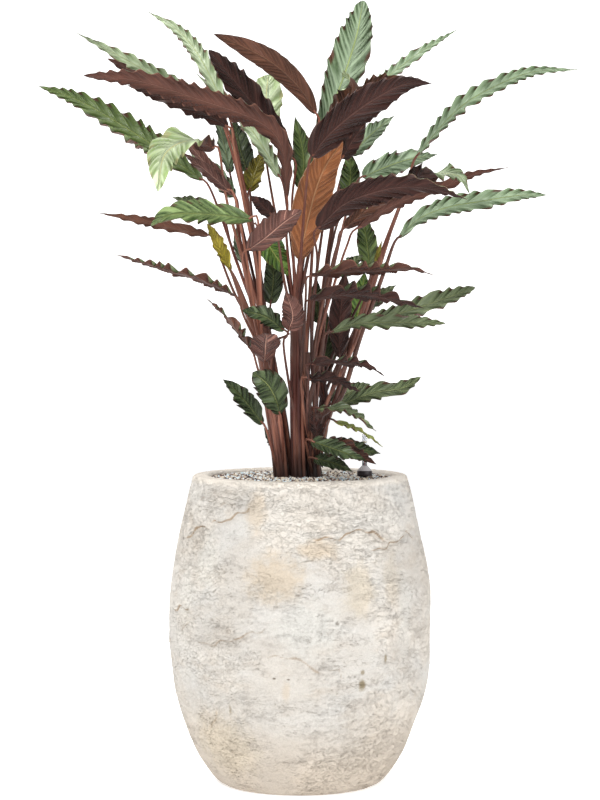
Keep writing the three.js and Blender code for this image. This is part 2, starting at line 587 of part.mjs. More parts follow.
function trunkGeometry(shoot) {
  const curve = curveThrough(trunkPoints(shoot));
  const taper = (along) => THREE.MathUtils.lerp(trunkFootRadius, shoot.top ?? trunkTopRadius, along);
  return tubeGeometry(curve, 2 * shoot.trunk.length, trunkSides, taper);
}

function stalkGeometry(spec, pastBase) {
  const midrib = curveThrough(spec.midrib.map(sight));
  const base = midrib.getPointAt(0);
  const forward = midrib.getTangentAt(0);
  const way = spec.stalk.map(sight);
  const below = trunkPoints(shoots[spec.shoot]).filter((point) => point.z < way[0].z - stalkStartBelow);
  const start = below.length > 1 ? below.at(-1).lerp(below.at(-2), stalkStartBack) : below[0];
  const lead = base.clone().addScaledVector(forward, -stalkLead);
  const end = base.clone().addScaledVector(forward, pastBase);
  const curve = curveThrough([start, ...way, lead, end]);
  const length = curve.getLength();
  const steps = Math.max(stalkLeastSteps, Math.round(length / stalkStep));
  const bare = (along) => Math.min(stalkTipRadius + stalkWidening * length * (1 - along), stalkMostRadius);
  const sheath = sheathRadius[spec.name] ?? 0;
  const taper = (along) => Math.max(bare(along), sheath * Math.min(1, sheathNarrowing * (1 - along)));
  return tubeGeometry(curve, steps, stalkSides, taper);
}

function shootGeometry(name) {
  const shoot = shoots[name];
  const [x, y] = shoot.foot;
  const footBottom = mixTop - footDepth + touchingGap;
  let solid = solidOf(rod(footRadius, footBottom, granuleTop + footRise, x, y, drillSides));
  solid = solid.add(solidOf(trunkGeometry(shoot)));
  for (const spec of largeLeaves.filter((one) => one.shoot === name)) {
    solid = solid.add(solidOf(stalkGeometry(spec, -touchingGap)));
  }
  for (const spec of smallLeaves.filter((one) => one.shoot === name)) {
    solid = solid.add(solidOf(stalkGeometry(spec, smallLeafRoot)));
    solid = solid.add(solidOf(bladeGeometry(spec)));
  }
  return geometryOf(solid);
}

// Assembly

function piece(name, geometry, finish) {
  const mesh = new THREE.Mesh(geometry, finish);
  mesh.name = name;
  return mesh;
}

const plant = new THREE.Group();
for (const shoot of Object.keys(shoots)) {
  plant.add(piece(`shoot_${shoot}`, shootGeometry(shoot), finishes.stalk));
}
for (const spec of largeLeaves) {
  plant.add(piece(`blade_${spec.name}`, bladeGeometry(spec), finishes.leaf));
}

const holder = new THREE.Group();
holder.add(piece('pot', potGeometry(), finishes.pot));
holder.add(piece('potting_mix', mixGeometry(), finishes.mix));
holder.add(piece('granules', granuleGeometry(), finishes.granules));
for (const [name, [geometry, finish]] of Object.entries(gaugeParts())) {
  holder.add(piece(name, geometry, finish));
}

const pottedCalathea = new THREE.Group();
pottedCalathea.add(holder, plant);
export default pottedCalathea;
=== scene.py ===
"""Potted wavestar calathea: a prayer-plant with long wave-edged leaves in a stone-look planter.

The planter stands on the floor at the origin, -Y is the front and +Z is up. Sizes are written in
millimetres, and the meshes are made in metres.
"""

import logging
import math
import zlib
from dataclasses import dataclass, field
from enum import Enum
from typing import Any, Callable, Sequence

import bpy
import numpy as np
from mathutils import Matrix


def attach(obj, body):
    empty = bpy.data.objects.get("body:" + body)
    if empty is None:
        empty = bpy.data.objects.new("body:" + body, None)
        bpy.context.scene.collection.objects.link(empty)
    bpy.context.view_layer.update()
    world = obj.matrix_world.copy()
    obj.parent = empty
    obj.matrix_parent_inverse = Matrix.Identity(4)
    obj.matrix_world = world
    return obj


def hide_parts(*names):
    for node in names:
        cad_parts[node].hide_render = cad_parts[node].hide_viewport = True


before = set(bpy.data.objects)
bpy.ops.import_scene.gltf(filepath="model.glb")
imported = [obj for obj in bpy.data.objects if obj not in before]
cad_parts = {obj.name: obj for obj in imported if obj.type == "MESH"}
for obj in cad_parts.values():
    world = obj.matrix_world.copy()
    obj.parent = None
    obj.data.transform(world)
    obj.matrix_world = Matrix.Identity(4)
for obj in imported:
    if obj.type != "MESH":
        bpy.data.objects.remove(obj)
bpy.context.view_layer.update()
MM = 0.001
BODY = "root"

log = logging.getLogger("calathea")

Point = tuple[float, float, float]
Row = tuple[float, ...]
Colour = tuple[int, int, int]
Array = np.ndarray
Socket = bpy.types.NodeSocket
Material = bpy.types.Material
Object = bpy.types.Object
Mesh = bpy.types.Mesh


def linear(colour: Colour) -> tuple[float, float, float, float]:
    """A display colour from 0 to 255 as a linear colour with full alpha."""
    shares = [part / 255 for part in colour]
    return (*[s / 12.92 if s <= 0.04045 else ((s + 0.055) / 1.055) ** 2.4 for s in shares], 1.0)


def smooth_step(low: float, high: float, value: Array) -> Array:
    """A soft step from 0 at low to 1 at high."""
    share = np.clip((value - low) / (high - low), 0, 1)
    return share * share * (3 - 2 * share)


# Node trees


class Wiring:
    """Adds and links the nodes of one shader or geometry tree."""

    def __init__(self, tree: bpy.types.NodeTree) -> None:
        """Keeps the tree that nodes are added to.

        Args:
            tree: The node tree, already empty.
        """
        self.tree = tree

    def put(self, socket: Socket, value: Any) -> None:
        """Links a socket to another one, or sets its own value.

        Args:
            socket: The input that is fed.
            value: A source socket or a plain value.
        """
        if isinstance(value, Socket):
            self.tree.links.new(value, socket)
        else:
            socket.default_value = value

    def node(self, kind: str, inputs: dict[Any, Any] | None = None, **settings: Any) -> bpy.types.Node:
        """Adds one node.

        Args:
            kind: The node's type name.
            inputs: A value or a source socket for each named or numbered input.
            **settings: The node's own options.

        Returns:
            The new node.
        """
        made = self.tree.nodes.new(kind)
        for option, value in settings.items():
            setattr(made, option, value)
        for key, value in (inputs or {}).items():
            self.put(made.inputs[key], value)
        return made

    def math(self, operation: str, *values: Any) -> Socket:
        """The result of one maths operation."""
        return self.node("ShaderNodeMath", dict(enumerate(values)), operation=operation).outputs[0]

    def times(self, first: Any, *others: Any) -> Any:
        """Numbers multiplied, from left to right.

        Args:
            first: The first number.
            *others: What it is multiplied by in turn.

        Returns:
            The product.
        """
        for other in others:
            first = self.math("MULTIPLY", first, other)
        return first

    def vector(self, operation: str, *values: Any, output: int | str = 0) -> Socket:
        """The result of one vector operation."""
        return self.node("ShaderNodeVectorMath", dict(enumerate(values)), operation=operation).outputs[output]

    def ease(self, value: Any, low: float, high: float, start: float = 0.0, end: float = 1.0) -> Any:
        """A soft step.

        Args:
            value: The number that is read.
            low: Where the step starts, which may be above its end.
            high: Where the step ends.
            start: The result at low.
            end: The result at high.

        Returns:
            A number from start to end.
        """
        inputs = {"Value": value, "From Min": low, "From Max": high, "To Min": start, "To Max": end}
        step = self.node("ShaderNodeMapRange", inputs, interpolation_type="SMOOTHSTEP")
        return step.outputs["Result"]

    def mix(self, share: Any, first: Any, second: Any, blend: str = "MIX") -> Socket:
        """Two colours mixed.

        Args:
            share: How much of the second colour is taken.
            first: The first colour.
            second: The second colour.
            blend: How the second is laid on.

        Returns:
            The mixed colour.
        """
        mixer = self.node("ShaderNodeMix", data_type="RGBA", blend_type=blend)
        for index, value in ((0, share), (6, first), (7, second)):
            self.put(mixer.inputs[index], value)
        return mixer.outputs[2]

    def noise(self, vector: Any, scale: float, detail: float = 3.0, rough: float = 0.55,
              twist: float = 0.0) -> Socket:
        """The factor of a noise texture.

        Args:
            vector: Where it is read.
            scale: Its turns per metre.
            detail: How many finer layers it has.
            rough: How strong the finer layers are.
            twist: How much it is distorted.

        Returns:
            A number that lies about 0.5.
        """
        inputs = {"Vector": vector, "Scale": scale, "Detail": detail, "Roughness": rough, "Distortion": twist}
        found = self.node("ShaderNodeTexNoise", inputs)
        return found.outputs["Fac" if "Fac" in found.outputs else 0]

    def stretched(self, vector: Any, scale: Point, place: Point = (0, 0, 0),
                  turn: Point = (0, 0, 0)) -> Socket:
        """A vector moved, turned and scaled by a mapping."""
        inputs = {"Vector": vector, "Location": place, "Rotation": turn, "Scale": scale}
        return self.node("ShaderNodeMapping", inputs).outputs[0]

    def split(self, vector: Any) -> Any:
        """The three parts of a vector."""
        return self.node("ShaderNodeSeparateXYZ", {"Vector": vector}).outputs


class Surface(Wiring):
    """One material's tree around its main shader."""

    def __init__(self, name: str, **settings: Any) -> None:
        """Starts a material.

        Args:
            name: The material's name.
            **settings: Plain values for the shader's own sockets, by their names with underscores.
        """
        self.material = bpy.data.materials.new(name)
        self.material.use_nodes = True
        super().__init__(self.material.node_tree)
        self.shader = self.tree.nodes["Principled BSDF"]
        for key, value in settings.items():
            self.shader.inputs[key.replace("_", " ")].default_value = value
        self.place = self.node("ShaderNodeTexCoord").outputs["Object"]

    def attribute(self, name: str, part: str = "Fac") -> Socket:
        """One output of a mesh attribute."""
        return self.node("ShaderNodeAttribute", attribute_name=name).outputs[part]

    def colour(self, value: Any) -> None:
        """Sets or links the base colour."""
        self.put(self.shader.inputs["Base Color"], value)

    def rough(self, value: Any) -> None:
        """Sets or links the roughness."""
        self.put(self.shader.inputs["Roughness"], value)

    def shaded(self, colour: Any, red: Any, green: Any = None, blue: Any = None) -> Socket:
        """A colour multiplied by numbers.

        Args:
            colour: The colour.
            red: What its red is multiplied by, and the rest too where they aren't given.
            green: What its green is multiplied by.
            blue: What its blue is multiplied by.

        Returns:
            The shaded colour.
        """
        parts = {0: red, 1: red if green is None else green, 2: red if blue is None else blue}
        return self.mix(1.0, colour, self.node("ShaderNodeCombineColor", parts).outputs[0], "MULTIPLY")

    def bump(self, height: Any, depth: float) -> None:
        """Adds relief over any relief set before.

        Args:
            height: The relief, from 0 to 1.
            depth: Its depth in metres.
        """
        inputs = {"Strength": 1.0, "Distance": depth, "Height": height}
        made = self.node("ShaderNodeBump", inputs)
        before = self.shader.inputs["Normal"].links
        if before:
            self.put(made.inputs["Normal"], before[0].from_socket)
        self.put(self.shader.inputs["Normal"], made.outputs[0])


class Recipe(Wiring):
    """A geometry tree with named inputs, run once on an object and then made plain mesh."""

    def __init__(self, name: str, inputs: dict[str, tuple[str, Any]]) -> None:
        """Starts the tree.

        Args:
            name: The tree's name.
            inputs: For each named input its socket type and its value.
        """
        tree = bpy.data.node_groups.new(name, "GeometryNodeTree")
        super().__init__(tree)
        tree.interface.new_socket("Geometry", in_out="INPUT", socket_type="NodeSocketGeometry")
        tree.interface.new_socket("Geometry", in_out="OUTPUT", socket_type="NodeSocketGeometry")
        self.values = {}
        for label, (kind, value) in inputs.items():
            made = tree.interface.new_socket(label, in_out="INPUT", socket_type=kind)
            self.values[made.identifier] = value
        self.given = self.node("NodeGroupInput").outputs

    def field(self, kind: str, output: int = 0, **settings: Any) -> Socket:
        """An output of a node that has no inputs."""
        return self.node(kind, **settings).outputs[output]

    def store(self, geometry: Any, name: str, value: Any, domain: str = "POINT") -> Socket:
        """Stores a number on the geometry.

        Args:
            geometry: What it is stored on.
            name: The number's name.
            value: The number.
            domain: The kind of element that carries it.

        Returns:
            The geometry with the number.
        """
        kept = self.node("GeometryNodeStoreNamedAttribute", {"Geometry": geometry, "Name": name},
                         data_type="FLOAT", domain=domain)
        self.put(next(s for s in kept.inputs if s.name == "Value" and s.enabled), value)
        return kept.outputs[0]

    def stored(self, name: str) -> Socket:
        """A number stored on the geometry."""
        return self.node("GeometryNodeInputNamedAttribute", {"Name": name}, data_type="FLOAT").outputs[0]

    def scaled(self, vector: Any, factor: Any) -> Socket:
        """A vector times a number.

        Args:
            vector: The vector.
            factor: The number.

        Returns:
            The scaled vector.
        """
        made = self.node("ShaderNodeVectorMath", {0: vector}, operation="SCALE")
        self.put(made.inputs["Scale"], factor)
        return made.outputs[0]

    def finish(self, geometry: Any) -> None:
        """Ends the tree in realised, smooth and painted geometry.

        Args:
            geometry: What the tree has made.
        """
        real = self.node("GeometryNodeRealizeInstances", {"Geometry": geometry}).outputs[0]
        smooth = self.node("GeometryNodeSetShadeSmooth", {"Geometry": real}).outputs[0]
        painted = self.node("GeometryNodeSetMaterial", {"Geometry": smooth, "Material": self.given["Finish"]})
        self.node("NodeGroupOutput", {0: painted.outputs[0]})

    def apply(self, source: Object, name: str) -> Object:
        """Runs the tree on an object.

        Args:
            source: The object that the tree reads. It is removed afterwards.
            name: The finished piece's name.

        Returns:
            A new object with plain mesh.
        """
        modifier = source.modifiers.new("recipe", "NODES")
        modifier.node_group = self.tree
        for identifier, value in self.values.items():
            modifier[identifier] = value
        bpy.context.view_layer.update()
        graph = bpy.context.evaluated_depsgraph_get()
        mesh = bpy.data.meshes.new_from_object(source.evaluated_get(graph), depsgraph=graph)
        source.modifiers.remove(modifier)
        bpy.data.objects.remove(source)
        mesh.name = name
        return linked(name, mesh)


def linked(name: str, data: Any) -> Object:
    """A new object in the scene.

    Args:
        name: The object's name.
        data: The mesh, curve, light or camera that it shows.

    Returns:
        The object.
    """
    made = bpy.data.objects.new(name, data)
    bpy.context.scene.collection.objects.link(made)
    return made


def settle(piece: Object, slot: str, *nodes: str) -> None:
    """Fixes a finished piece to the object, and hides the solids that it is shown in place of.

    Args:
        piece: The finished piece.
        slot: The record's material slot for the piece. It is not used.
        *nodes: The solids that it is shown in place of.
    """
    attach(piece, BODY)
    if nodes:
        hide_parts(*nodes)
    log.info("%s: %d faces", piece.name, len(piece.data.polygons))


def mesh_of(name: str, points: Array, faces: Sequence[Sequence[int]],
            finishes: Sequence[Material]) -> Mesh:
    """A smooth mesh.

    Args:
        name: The mesh's name.
        points: Its points in millimetres.
        faces: The points of each face.
        finishes: Its materials.

    Returns:
        The mesh, in metres.
    """
    mesh = bpy.data.meshes.new(name)
    mesh.from_pydata((points * MM).tolist(), [], [list(face) for face in faces])
    mesh.shade_smooth()
    for finish in finishes:
        mesh.materials.append(finish)
    return mesh


def lathe(profile: Sequence[Sequence[float]], sides: int) -> tuple[Array, list[list[int]]]:
    """A closed turned form round the Z axis.

    Args:
        profile: Radius and height pairs from the axis at the foot to the axis at the top.
        sides: The number of sides round the axis.

    Returns:
        Points in millimetres, and faces.
    """
    angles = np.linspace(0, 2 * math.pi, sides, endpoint=False)
    rings = profile[1:-1]
    points = [[0.0, 0.0, profile[0][1]]]
    for radius, height in rings:
        points += [[radius * math.cos(a), radius * math.sin(a), height] for a in angles]
    points.append([0.0, 0.0, profile[-1][1]])
    faces = []
    last = len(points) - 1
    for k in range(sides):
        beside = (k + 1) % sides
        faces.append([0, 1 + beside, 1 + k])
        for ring in range(len(rings) - 1):
            low, high = 1 + ring * sides, 1 + (ring + 1) * sides
            faces.append([low + k, low + beside, high + beside, high + k])
        top = last - sides
        faces.append([last, top + k, top + beside])
    return np.array(points), faces


# Curves, and the view that the leaves' places are measured in


def catmull_rom(points: Array, samples: int = 48) -> Array:
    """A smooth line through points.

    Args:
        points: The points that it passes through.
        samples: How many places each stretch between two points gets.

    Returns:
        A dense row of places.
    """
    padded = np.vstack([2 * points[0] - points[1], points, 2 * points[-1] - points[-2]])
    t = np.linspace(0, 1, samples, endpoint=False)[:, None]
    runs = []
    for start in range(len(points) - 1):
        a, b, c, d = padded[start:start + 4]
        bend = (2 * a - 5 * b + 4 * c - d) * t**2 + (3 * b - a - 3 * c + d) * t**3
        runs.append(0.5 * (2 * b + (c - a) * t + bend))
    return np.vstack([*runs, points[-1:]])


class Path:
    """A smooth line through given points, read by the share of its length."""

    look_ahead: float = 0.004

    def __init__(self, points: Sequence[Sequence[float]]) -> None:
        """Measures the line.

        Args:
            points: The places that the line passes through, in millimetres.
        """
        self.line = catmull_rom(np.array(points, float))
        steps = np.linalg.norm(np.diff(self.line, axis=0), axis=1)
        self.run = np.concatenate([[0], np.cumsum(steps)])
        self.length = float(self.run[-1])

    def at(self, shares: Array) -> Array:
        """Places on the line, by share of its length."""
        reach = np.clip(shares, 0, 1) * self.length
        return np.stack([np.interp(reach, self.run, self.line[:, k]) for k in range(3)], axis=1)

    def heading(self, shares: Array) -> Array:
        """The line's direction.

        Args:
            shares: Where, by share of its length.

        Returns:
            One unit direction for each share.
        """
        ahead = self.at(shares + self.look_ahead) - self.at(shares - self.look_ahead)
        return ahead / np.linalg.norm(ahead, axis=1, keepdims=True)


@dataclass(frozen=True)
class Eye:
    """The eye that stands in front of the planter's axis."""

    distance: float = 3500.0
    height: float = 690.0
    depth_scale: float = 1.4

    def sight(self, point: Point) -> list[float]:
        """Turns a place as the eye sees it into one in the object's own frame.

        Args:
            point: Its x, height and depth as the eye sees them.

        Returns:
            Its x, y and z in millimetres.
        """
        back = point[2] * self.depth_scale
        spread = (self.distance + back) / self.distance
        return [point[0] * spread, back, self.height + (point[1] - self.height) * spread]


EYE = Eye()


# Leaves


@dataclass(frozen=True)
class Tone:
    """The colours of one side of a leaf."""

    flesh: Colour
    # Dark stripes, which also stand for painted shade in the valleys of the pleats.
    stripe: Colour
    rib: Colour
    edge: Colour


class Top(Enum):
    """The kinds of upper side."""

    GREY = Tone((150, 170, 138), (62, 86, 46), (160, 176, 112), (90, 48, 40))
    PALE = Tone((172, 186, 152), (84, 110, 60), (182, 194, 128), (104, 60, 48))
    LIME = Tone((198, 213, 172), (144, 168, 104), (206, 208, 150), (176, 172, 126))
    MEADOW = Tone((132, 154, 96), (62, 86, 42), (150, 164, 98), (96, 72, 50))
    MID = Tone((108, 120, 84), (46, 60, 34), (146, 156, 104), (84, 54, 42))
    FERN = Tone((94, 112, 60), (36, 54, 22), (130, 144, 74), (84, 54, 42))
    DARK = Tone((76, 90, 58), (32, 44, 24), (110, 118, 64), (60, 40, 30))
    BRIGHT = Tone((104, 136, 60), (40, 70, 26), (172, 180, 92), (112, 98, 50))
    OLIVE = Tone((142, 130, 46), (92, 86, 30), (176, 166, 78), (120, 98, 42))
    LEMON = Tone((150, 158, 88), (98, 114, 52), (186, 188, 116), (190, 180, 90))
    YELLOW = Tone((188, 172, 62), (158, 144, 52), (200, 184, 80), (130, 98, 48))


class Under(Enum):
    """The kinds of underside."""

    BURGUNDY = Tone((86, 52, 42), (48, 27, 22), (114, 74, 60), (122, 82, 66))
    DEEP = Tone((61, 32, 26), (32, 17, 14), (84, 52, 44), (100, 64, 54))
    ROSY = Tone((106, 70, 62), (76, 46, 40), (180, 134, 118), (84, 52, 44))
    BROWN = Tone((98, 61, 45), (62, 36, 27), (122, 82, 60), (66, 38, 30))
    COPPER = Tone((158, 98, 60), (128, 77, 46), (176, 126, 88), (212, 168, 138))
    OLIVE = Tone((122, 108, 50), (92, 80, 36), (150, 134, 68), (98, 80, 40))


@dataclass(frozen=True)
class Leaf:
    """One leaf. Points are x, height and depth as the eye sees them, in millimetres.

    The face angles run from base to tip: at 0 the green side looks to the front, at 90 upwards and
    at 180 away. Ruffle is the strength of its waves, and fullest the share of the length at which the
    blade is widest. A blade that is widest near its tip ends bluntly.
    """

    name: str
    shoot: str
    width: float
    face: Row
    top: Top
    ruffle: float
    stalk: tuple[Point, ...]
    midrib: tuple[Point, ...]
    fullest: float = 0.38
    under: Under = Under.BURGUNDY


LARGE_LEAVES = (
    Leaf("far_left", "left_back", 37, (30, 30), Top.FERN, 1.0, ((-75, 690, 36), (-113, 798, 52)),
         ((-135, 838, 60), (-215, 894, 85), (-300, 945, 110), (-361, 968, 124)), 0.48),
    Leaf("nodding", "left_front", 48, (175, 60, 10, 5), Top.LIME, 0.9, ((-70, 690, -14), (-101, 808, -16)),
         ((-118, 882, -24), (-152, 893, -52), (-187, 874, -80), (-197, 823, -100)), 0.48),
    Leaf("long_left", "centre_front", 34, (150, 145), Top.DARK, 1.0, ((-13, 700, -14), (-19, 765, -14)),
         ((-18, 812, -36), (-25, 884, -46), (-58, 920, -64), (-140, 950, -97), (-225, 976, -127),
         (-299, 983, -152)), 0.55),
    Leaf("brown_left", "left_front", 28, (150, 150), Top.DARK, 1.1, ((-60, 715, -12), (-77, 805, -16),
         (-92, 886, -20)), ((-100, 912, -24), (-124, 927, -40), (-162, 945, -62), (-202, 959, -86),
         (-238, 969, -104)), 0.45, under=Under.DEEP),
    Leaf("wavy_left", "left_back", 23, (25, 25), Top.PALE, 1.2, ((-60, 730, 4), (-87, 850, -2),
         (-108, 922, -10)), ((-118, 936, -16), (-187, 974, -48), (-240, 1004, -74), (-308, 1041, -100))),
    Leaf("brown_left_far", "left_back", 28, (155, 150), Top.DARK, 1.0, ((-58, 725, 9), (-85, 860, 8),
         (-101, 910, 8)), ((-112, 934, 8), (-180, 966, -12), (-230, 989, -28), (-266, 1006, -40)), 0.5),
    Leaf("tall_left", "left_back", 24, (25, 20), Top.PALE, 1.0, ((-56, 715, 16), (-84, 865, 18)),
         ((-101, 932, 20), (-127, 987, 34), (-149, 1023, 60), (-173, 1048, 78), (-209, 1070, 100))),
    Leaf("slim_left", "centre_back", 22, (20, 20), Top.PALE, 1.0, ((-17, 790, 8),), ((-28, 842, 6),
         (-55, 890, 18), (-88, 934, 38), (-143, 985, 74))),
    Leaf("dark_left", "centre_front", 39, (165, 160), Top.DARK, 1.0, ((-11, 800, -10),), ((-10, 866, -10),
         (-27, 893, -16), (-63, 941, -34), (-98, 985, -56), (-126, 1018, -74)), 0.55, under=Under.DEEP),
    Leaf("arch_left", "centre_front", 31, (175, 165), Top.MID, 0.35, ((12, 800, -4), (24, 902, -4)),
         ((22, 930, -4), (0, 965, 0), (-35, 998, 8), (-75, 1021, 18), (-119, 1040, 28)), 0.5,
         under=Under.BROWN),
    Leaf("pale_middle", "centre_back", 50, (10, 10), Top.LIME, 0.6, ((-32, 780, 40),), ((-48, 880, 52),
         (-48, 935, 76), (-44, 984, 104)), 0.62, under=Under.ROSY),
    Leaf("tallest", "centre_back", 54, (10, 15), Top.GREY, 0.9, ((20, 800, 20),), ((24, 905, 24),
         (46, 945, 40), (66, 997, 62), (80, 1045, 82), (87, 1086, 98)), 0.58),
    Leaf("upright_centre", "centre_back", 29, (5, 5), Top.FERN, 0.8, ((-3, 760, 18),), ((1, 826, 22),
         (5, 870, 32), (-7, 926, 42))),
    Leaf("broad_right", "centre_front", 45, (170, 160), Top.DARK, 0.9, ((0, 720, -36), (6, 800, -44)),
         ((17, 870, -48), (36, 897, -62), (76, 932, -92), (118, 959, -122), (150, 972, -142),
         (182, 972, -160)), under=Under.DEEP),
    Leaf("copper", "centre_front", 49, (178, 175), Top.LIME, 0.5, ((-4, 690, -24),), ((-1, 728, -28),
         (7, 765, -29), (19, 815, -29), (34, 855, -30), (59, 892, -36)), 0.5, under=Under.COPPER),
    Leaf("high_right", "right_back", 17, (25, 25), Top.GREY, 1.1, ((22, 580, 18), (37, 700, 20),
         (50, 800, 18), (78, 915, 12)), ((92, 960, 16), (125, 984, 42), (165, 1014, 70), (217, 1046, 104))),
    Leaf("arching_right", "right_back", 24, (60, 30, 20), Top.GREY, 1.0, ((50, 538, 16), (75, 622, 18),
         (108, 722, 14), (146, 824, 6)), ((163, 872, 2), (190, 906, -4), (222, 939, -16), (262, 964, -32),
         (320, 987, -58), (384, 991, -88))),
    Leaf("pointing_right", "right_back", 26, (20, 20), Top.GREY, 1.0, ((26, 620, 20), (46, 790, 26)),
         ((70, 872, 30), (100, 903, 44), (130, 927, 58))),
    Leaf("pale_right", "right_front", 31, (15, 10), Top.GREY, 1.5, ((25, 560, -8), (39, 680, -10),
         (66, 800, -6)), ((87, 842, 0), (115, 855, 16), (150, 867, 32), (190, 874, 48))),
    Leaf("turning_right", "right_front", 31, (165, 150, 40, 20), Top.PALE, 1.1, ((33, 520, -11),
         (75, 610, -14), (112, 722, -12), (136, 800, -12)), ((150, 835, -20), (170, 845, -50),
         (198, 848, -80), (222, 842, -96), (235, 820, -106)), under=Under.DEEP),
    Leaf("slender_right", "right_front", 19, (150, 140), Top.DARK, 1.0, ((22, 600, -12), (53, 712, -22),
         (66, 750, -30)), ((80, 772, -38), (118, 798, -38), (160, 817, -34), (198, 829, -32), (240, 846, -38),
         (288, 856, -48))),
    Leaf("dark_right", "right_front", 37, (165, 160, 120), Top.LIME, 0.9, ((16, 640, -22), (24, 725, -36)),
         ((25, 771, -54), (58, 803, -71), (95, 819, -87), (140, 829, -104), (185, 826, -118),
         (232, 812, -132)), 0.36, under=Under.DEEP),
    Leaf("copper_right", "right_front", 20, (160, 160), Top.DARK, 0.9, ((19, 600, -14), (44, 720, -28),
         (52, 750, -38)), ((62, 772, -48), (100, 803, -61), (150, 828, -76)), under=Under.BROWN),
    Leaf("long_right", "right_front", 26, (25, 20), Top.GREY, 1.1, ((57, 538, -4), (84, 622, -6),
         (114, 704, -10)), ((137, 758, -12), (165, 785, -20), (205, 801, -32), (250, 809, -46),
         (300, 817, -62), (341, 818, -75)), 0.52),
    Leaf("upright_right", "right_back", 28, (0, 10), Top.FERN, 0.8, ((30, 560, 22), (88, 680, 22)),
         ((97, 717, 24), (93, 750, 30), (86, 795, 36))),
    Leaf("edge_right_upper", "right_front", 27, (118, 112), Top.MID, 1.2, ((6, 560, -20), (8, 680, -40)),
         ((17, 705, -50), (60, 712, -68), (110, 713, -86), (150, 716, -102), (186, 707, -114))),
    Leaf("edge_right_lower", "right_front", 33, (118, 115), Top.DARK, 1.2, ((2, 560, -24), (7, 655, -42)),
         ((15, 672, -50), (60, 680, -68), (105, 678, -88), (145, 668, -108), (172, 661, -122)),
         under=Under.DEEP),
    Leaf("level_right", "right_back", 29, (35, 30), Top.MID, 1.1, ((30, 540, 22), (55, 610, 34)),
         ((68, 641, 40), (120, 649, 52), (180, 667, 70), (243, 690, 94)), 0.6),
    Leaf("straight_right", "right_front", 24, (40, 35), Top.MID, 1.0, ((12, 520, -18), (30, 600, -28)),
         ((42, 627, -32), (80, 640, -42), (130, 641, -54), (202, 640, -72)), 0.52),
    Leaf("dark_upright", "right_back", 30, (178, 178), Top.DARK, 0.8, ((30, 500, 12), (49, 565, 6)),
         ((55, 592, 4), (56, 650, 5), (63, 710, 5)), 0.5, under=Under.DEEP),
    Leaf("striped_upright", "right_back", 34, (0, 0), Top.BRIGHT, 0.8, ((32, 500, 30), (60, 590, 58)),
         ((76, 632, 66), (84, 672, 72), (90, 712, 76))),
    Leaf("broad_left", "left_front", 37, (40, 40), Top.MEADOW, 0.7, ((-55, 690, -30),), ((-66, 784, -42),
         (-115, 790, -64), (-160, 792, -86), (-186, 788, -98), (-207, 775, -106)), 0.52),
    Leaf("ribbed_centre", "left_front", 40, (150, 150), Top.MID, 0.5, ((-75, 700, -44),), ((-73, 741, -54),
         (-50, 757, -64), (-22, 780, -76), (2, 797, -86)), 0.5, under=Under.ROSY),
    Leaf("thin_left", "left_back", 16, (150, 150), Top.MID, 1.2, ((-85, 670, 4), (-114, 742, 4)),
         ((-127, 762, 6), (-160, 769, 8), (-220, 782, 14), (-278, 793, 22)), under=Under.BROWN),
    Leaf("yellowing", "left_front", 27, (60, 50), Top.YELLOW, 0.35, ((-62, 625, -12), (-78, 668, -16)),
         ((-96, 712, -22), (-112, 742, -30), (-129, 778, -40)), 0.5, under=Under.ROSY),
    Leaf("edge_left_upper", "left_front", 28, (102, 100), Top.MID, 1.2, ((-78, 650, -24),), ((-92, 678, -28),
         (-130, 696, -48), (-200, 718, -80), (-258, 736, -108))),
    Leaf("edge_left_lower", "left_front", 24, (110, 105), Top.MID, 1.3, ((-40, 530, -26), (-58, 575, -34)),
         ((-69, 604, -42), (-97, 642, -64), (-130, 675, -84)), under=Under.BROWN),
    Leaf("ribbed_low", "left_front", 40, (172, 175), Top.DARK, 0.6, ((-34, 520, -24), (-46, 565, -34)),
         ((-49, 585, -42), (-48, 606, -62), (-46, 626, -88)), 0.55, under=Under.ROSY),
    Leaf("dark_left_middle", "left_front", 25, (30, 20), Top.DARK, 1.2, ((-36, 610, -36),), ((-22, 630, -42),
         (-48, 649, -50), (-80, 658, -60)), 0.5),
    Leaf("rosy_centre", "centre_front", 30, (170, 165), Top.BRIGHT, 0.8, ((-16, 560, -30), (-23, 612, -42)),
         ((-16, 630, -50), (-10, 652, -54), (-20, 685, -60)), under=Under.ROSY),
    Leaf("dark_centre", "left_back", 26, (5, 5), Top.DARK, 0.8, ((-44, 648, 8),), ((-41, 667, 4),
         (-37, 705, 5), (-42, 745, 6))),
    Leaf("drooping_centre", "left_back", 34, (10, 10), Top.BRIGHT, 0.6, ((-60, 735, 0), (-66, 770, -4)),
         ((-58, 772, -8), (-38, 740, -4), (-14, 705, 2))),
    Leaf("low_left", "left_front", 24, (20, 25), Top.DARK, 1.5, ((-36, 452, -22),), ((-52, 500, -34),
         (-70, 524, -44), (-90, 547, -58), (-107, 562, -72)), 0.45),
    Leaf("low_left_broad", "left_front", 40, (10, 5), Top.DARK, 1.1, ((-24, 470, -26),), ((-28, 513, -44),
         (-34, 535, -54), (-46, 556, -66), (-66, 572, -78)), 0.58),
    Leaf("edge_low_right", "right_front", 25, (115, 112), Top.DARK, 1.2, ((10, 500, -30), (12, 565, -42)),
         ((16, 583, -48), (50, 585, -66), (90, 581, -86), (119, 566, -100)), under=Under.DEEP),
    Leaf("low_right", "right_front", 24, (25, 30), Top.MID, 1.2, ((30, 480, -16),), ((55, 526, -22),
         (100, 543, -36), (142, 550, -50), (168, 565, -62)), 0.55),
    Leaf("low_ruffled", "right_front", 24, (30, 30), Top.DARK, 1.4, ((12, 455, -28),), ((16, 476, -48),
         (45, 466, -62), (92, 449, -84))),
)

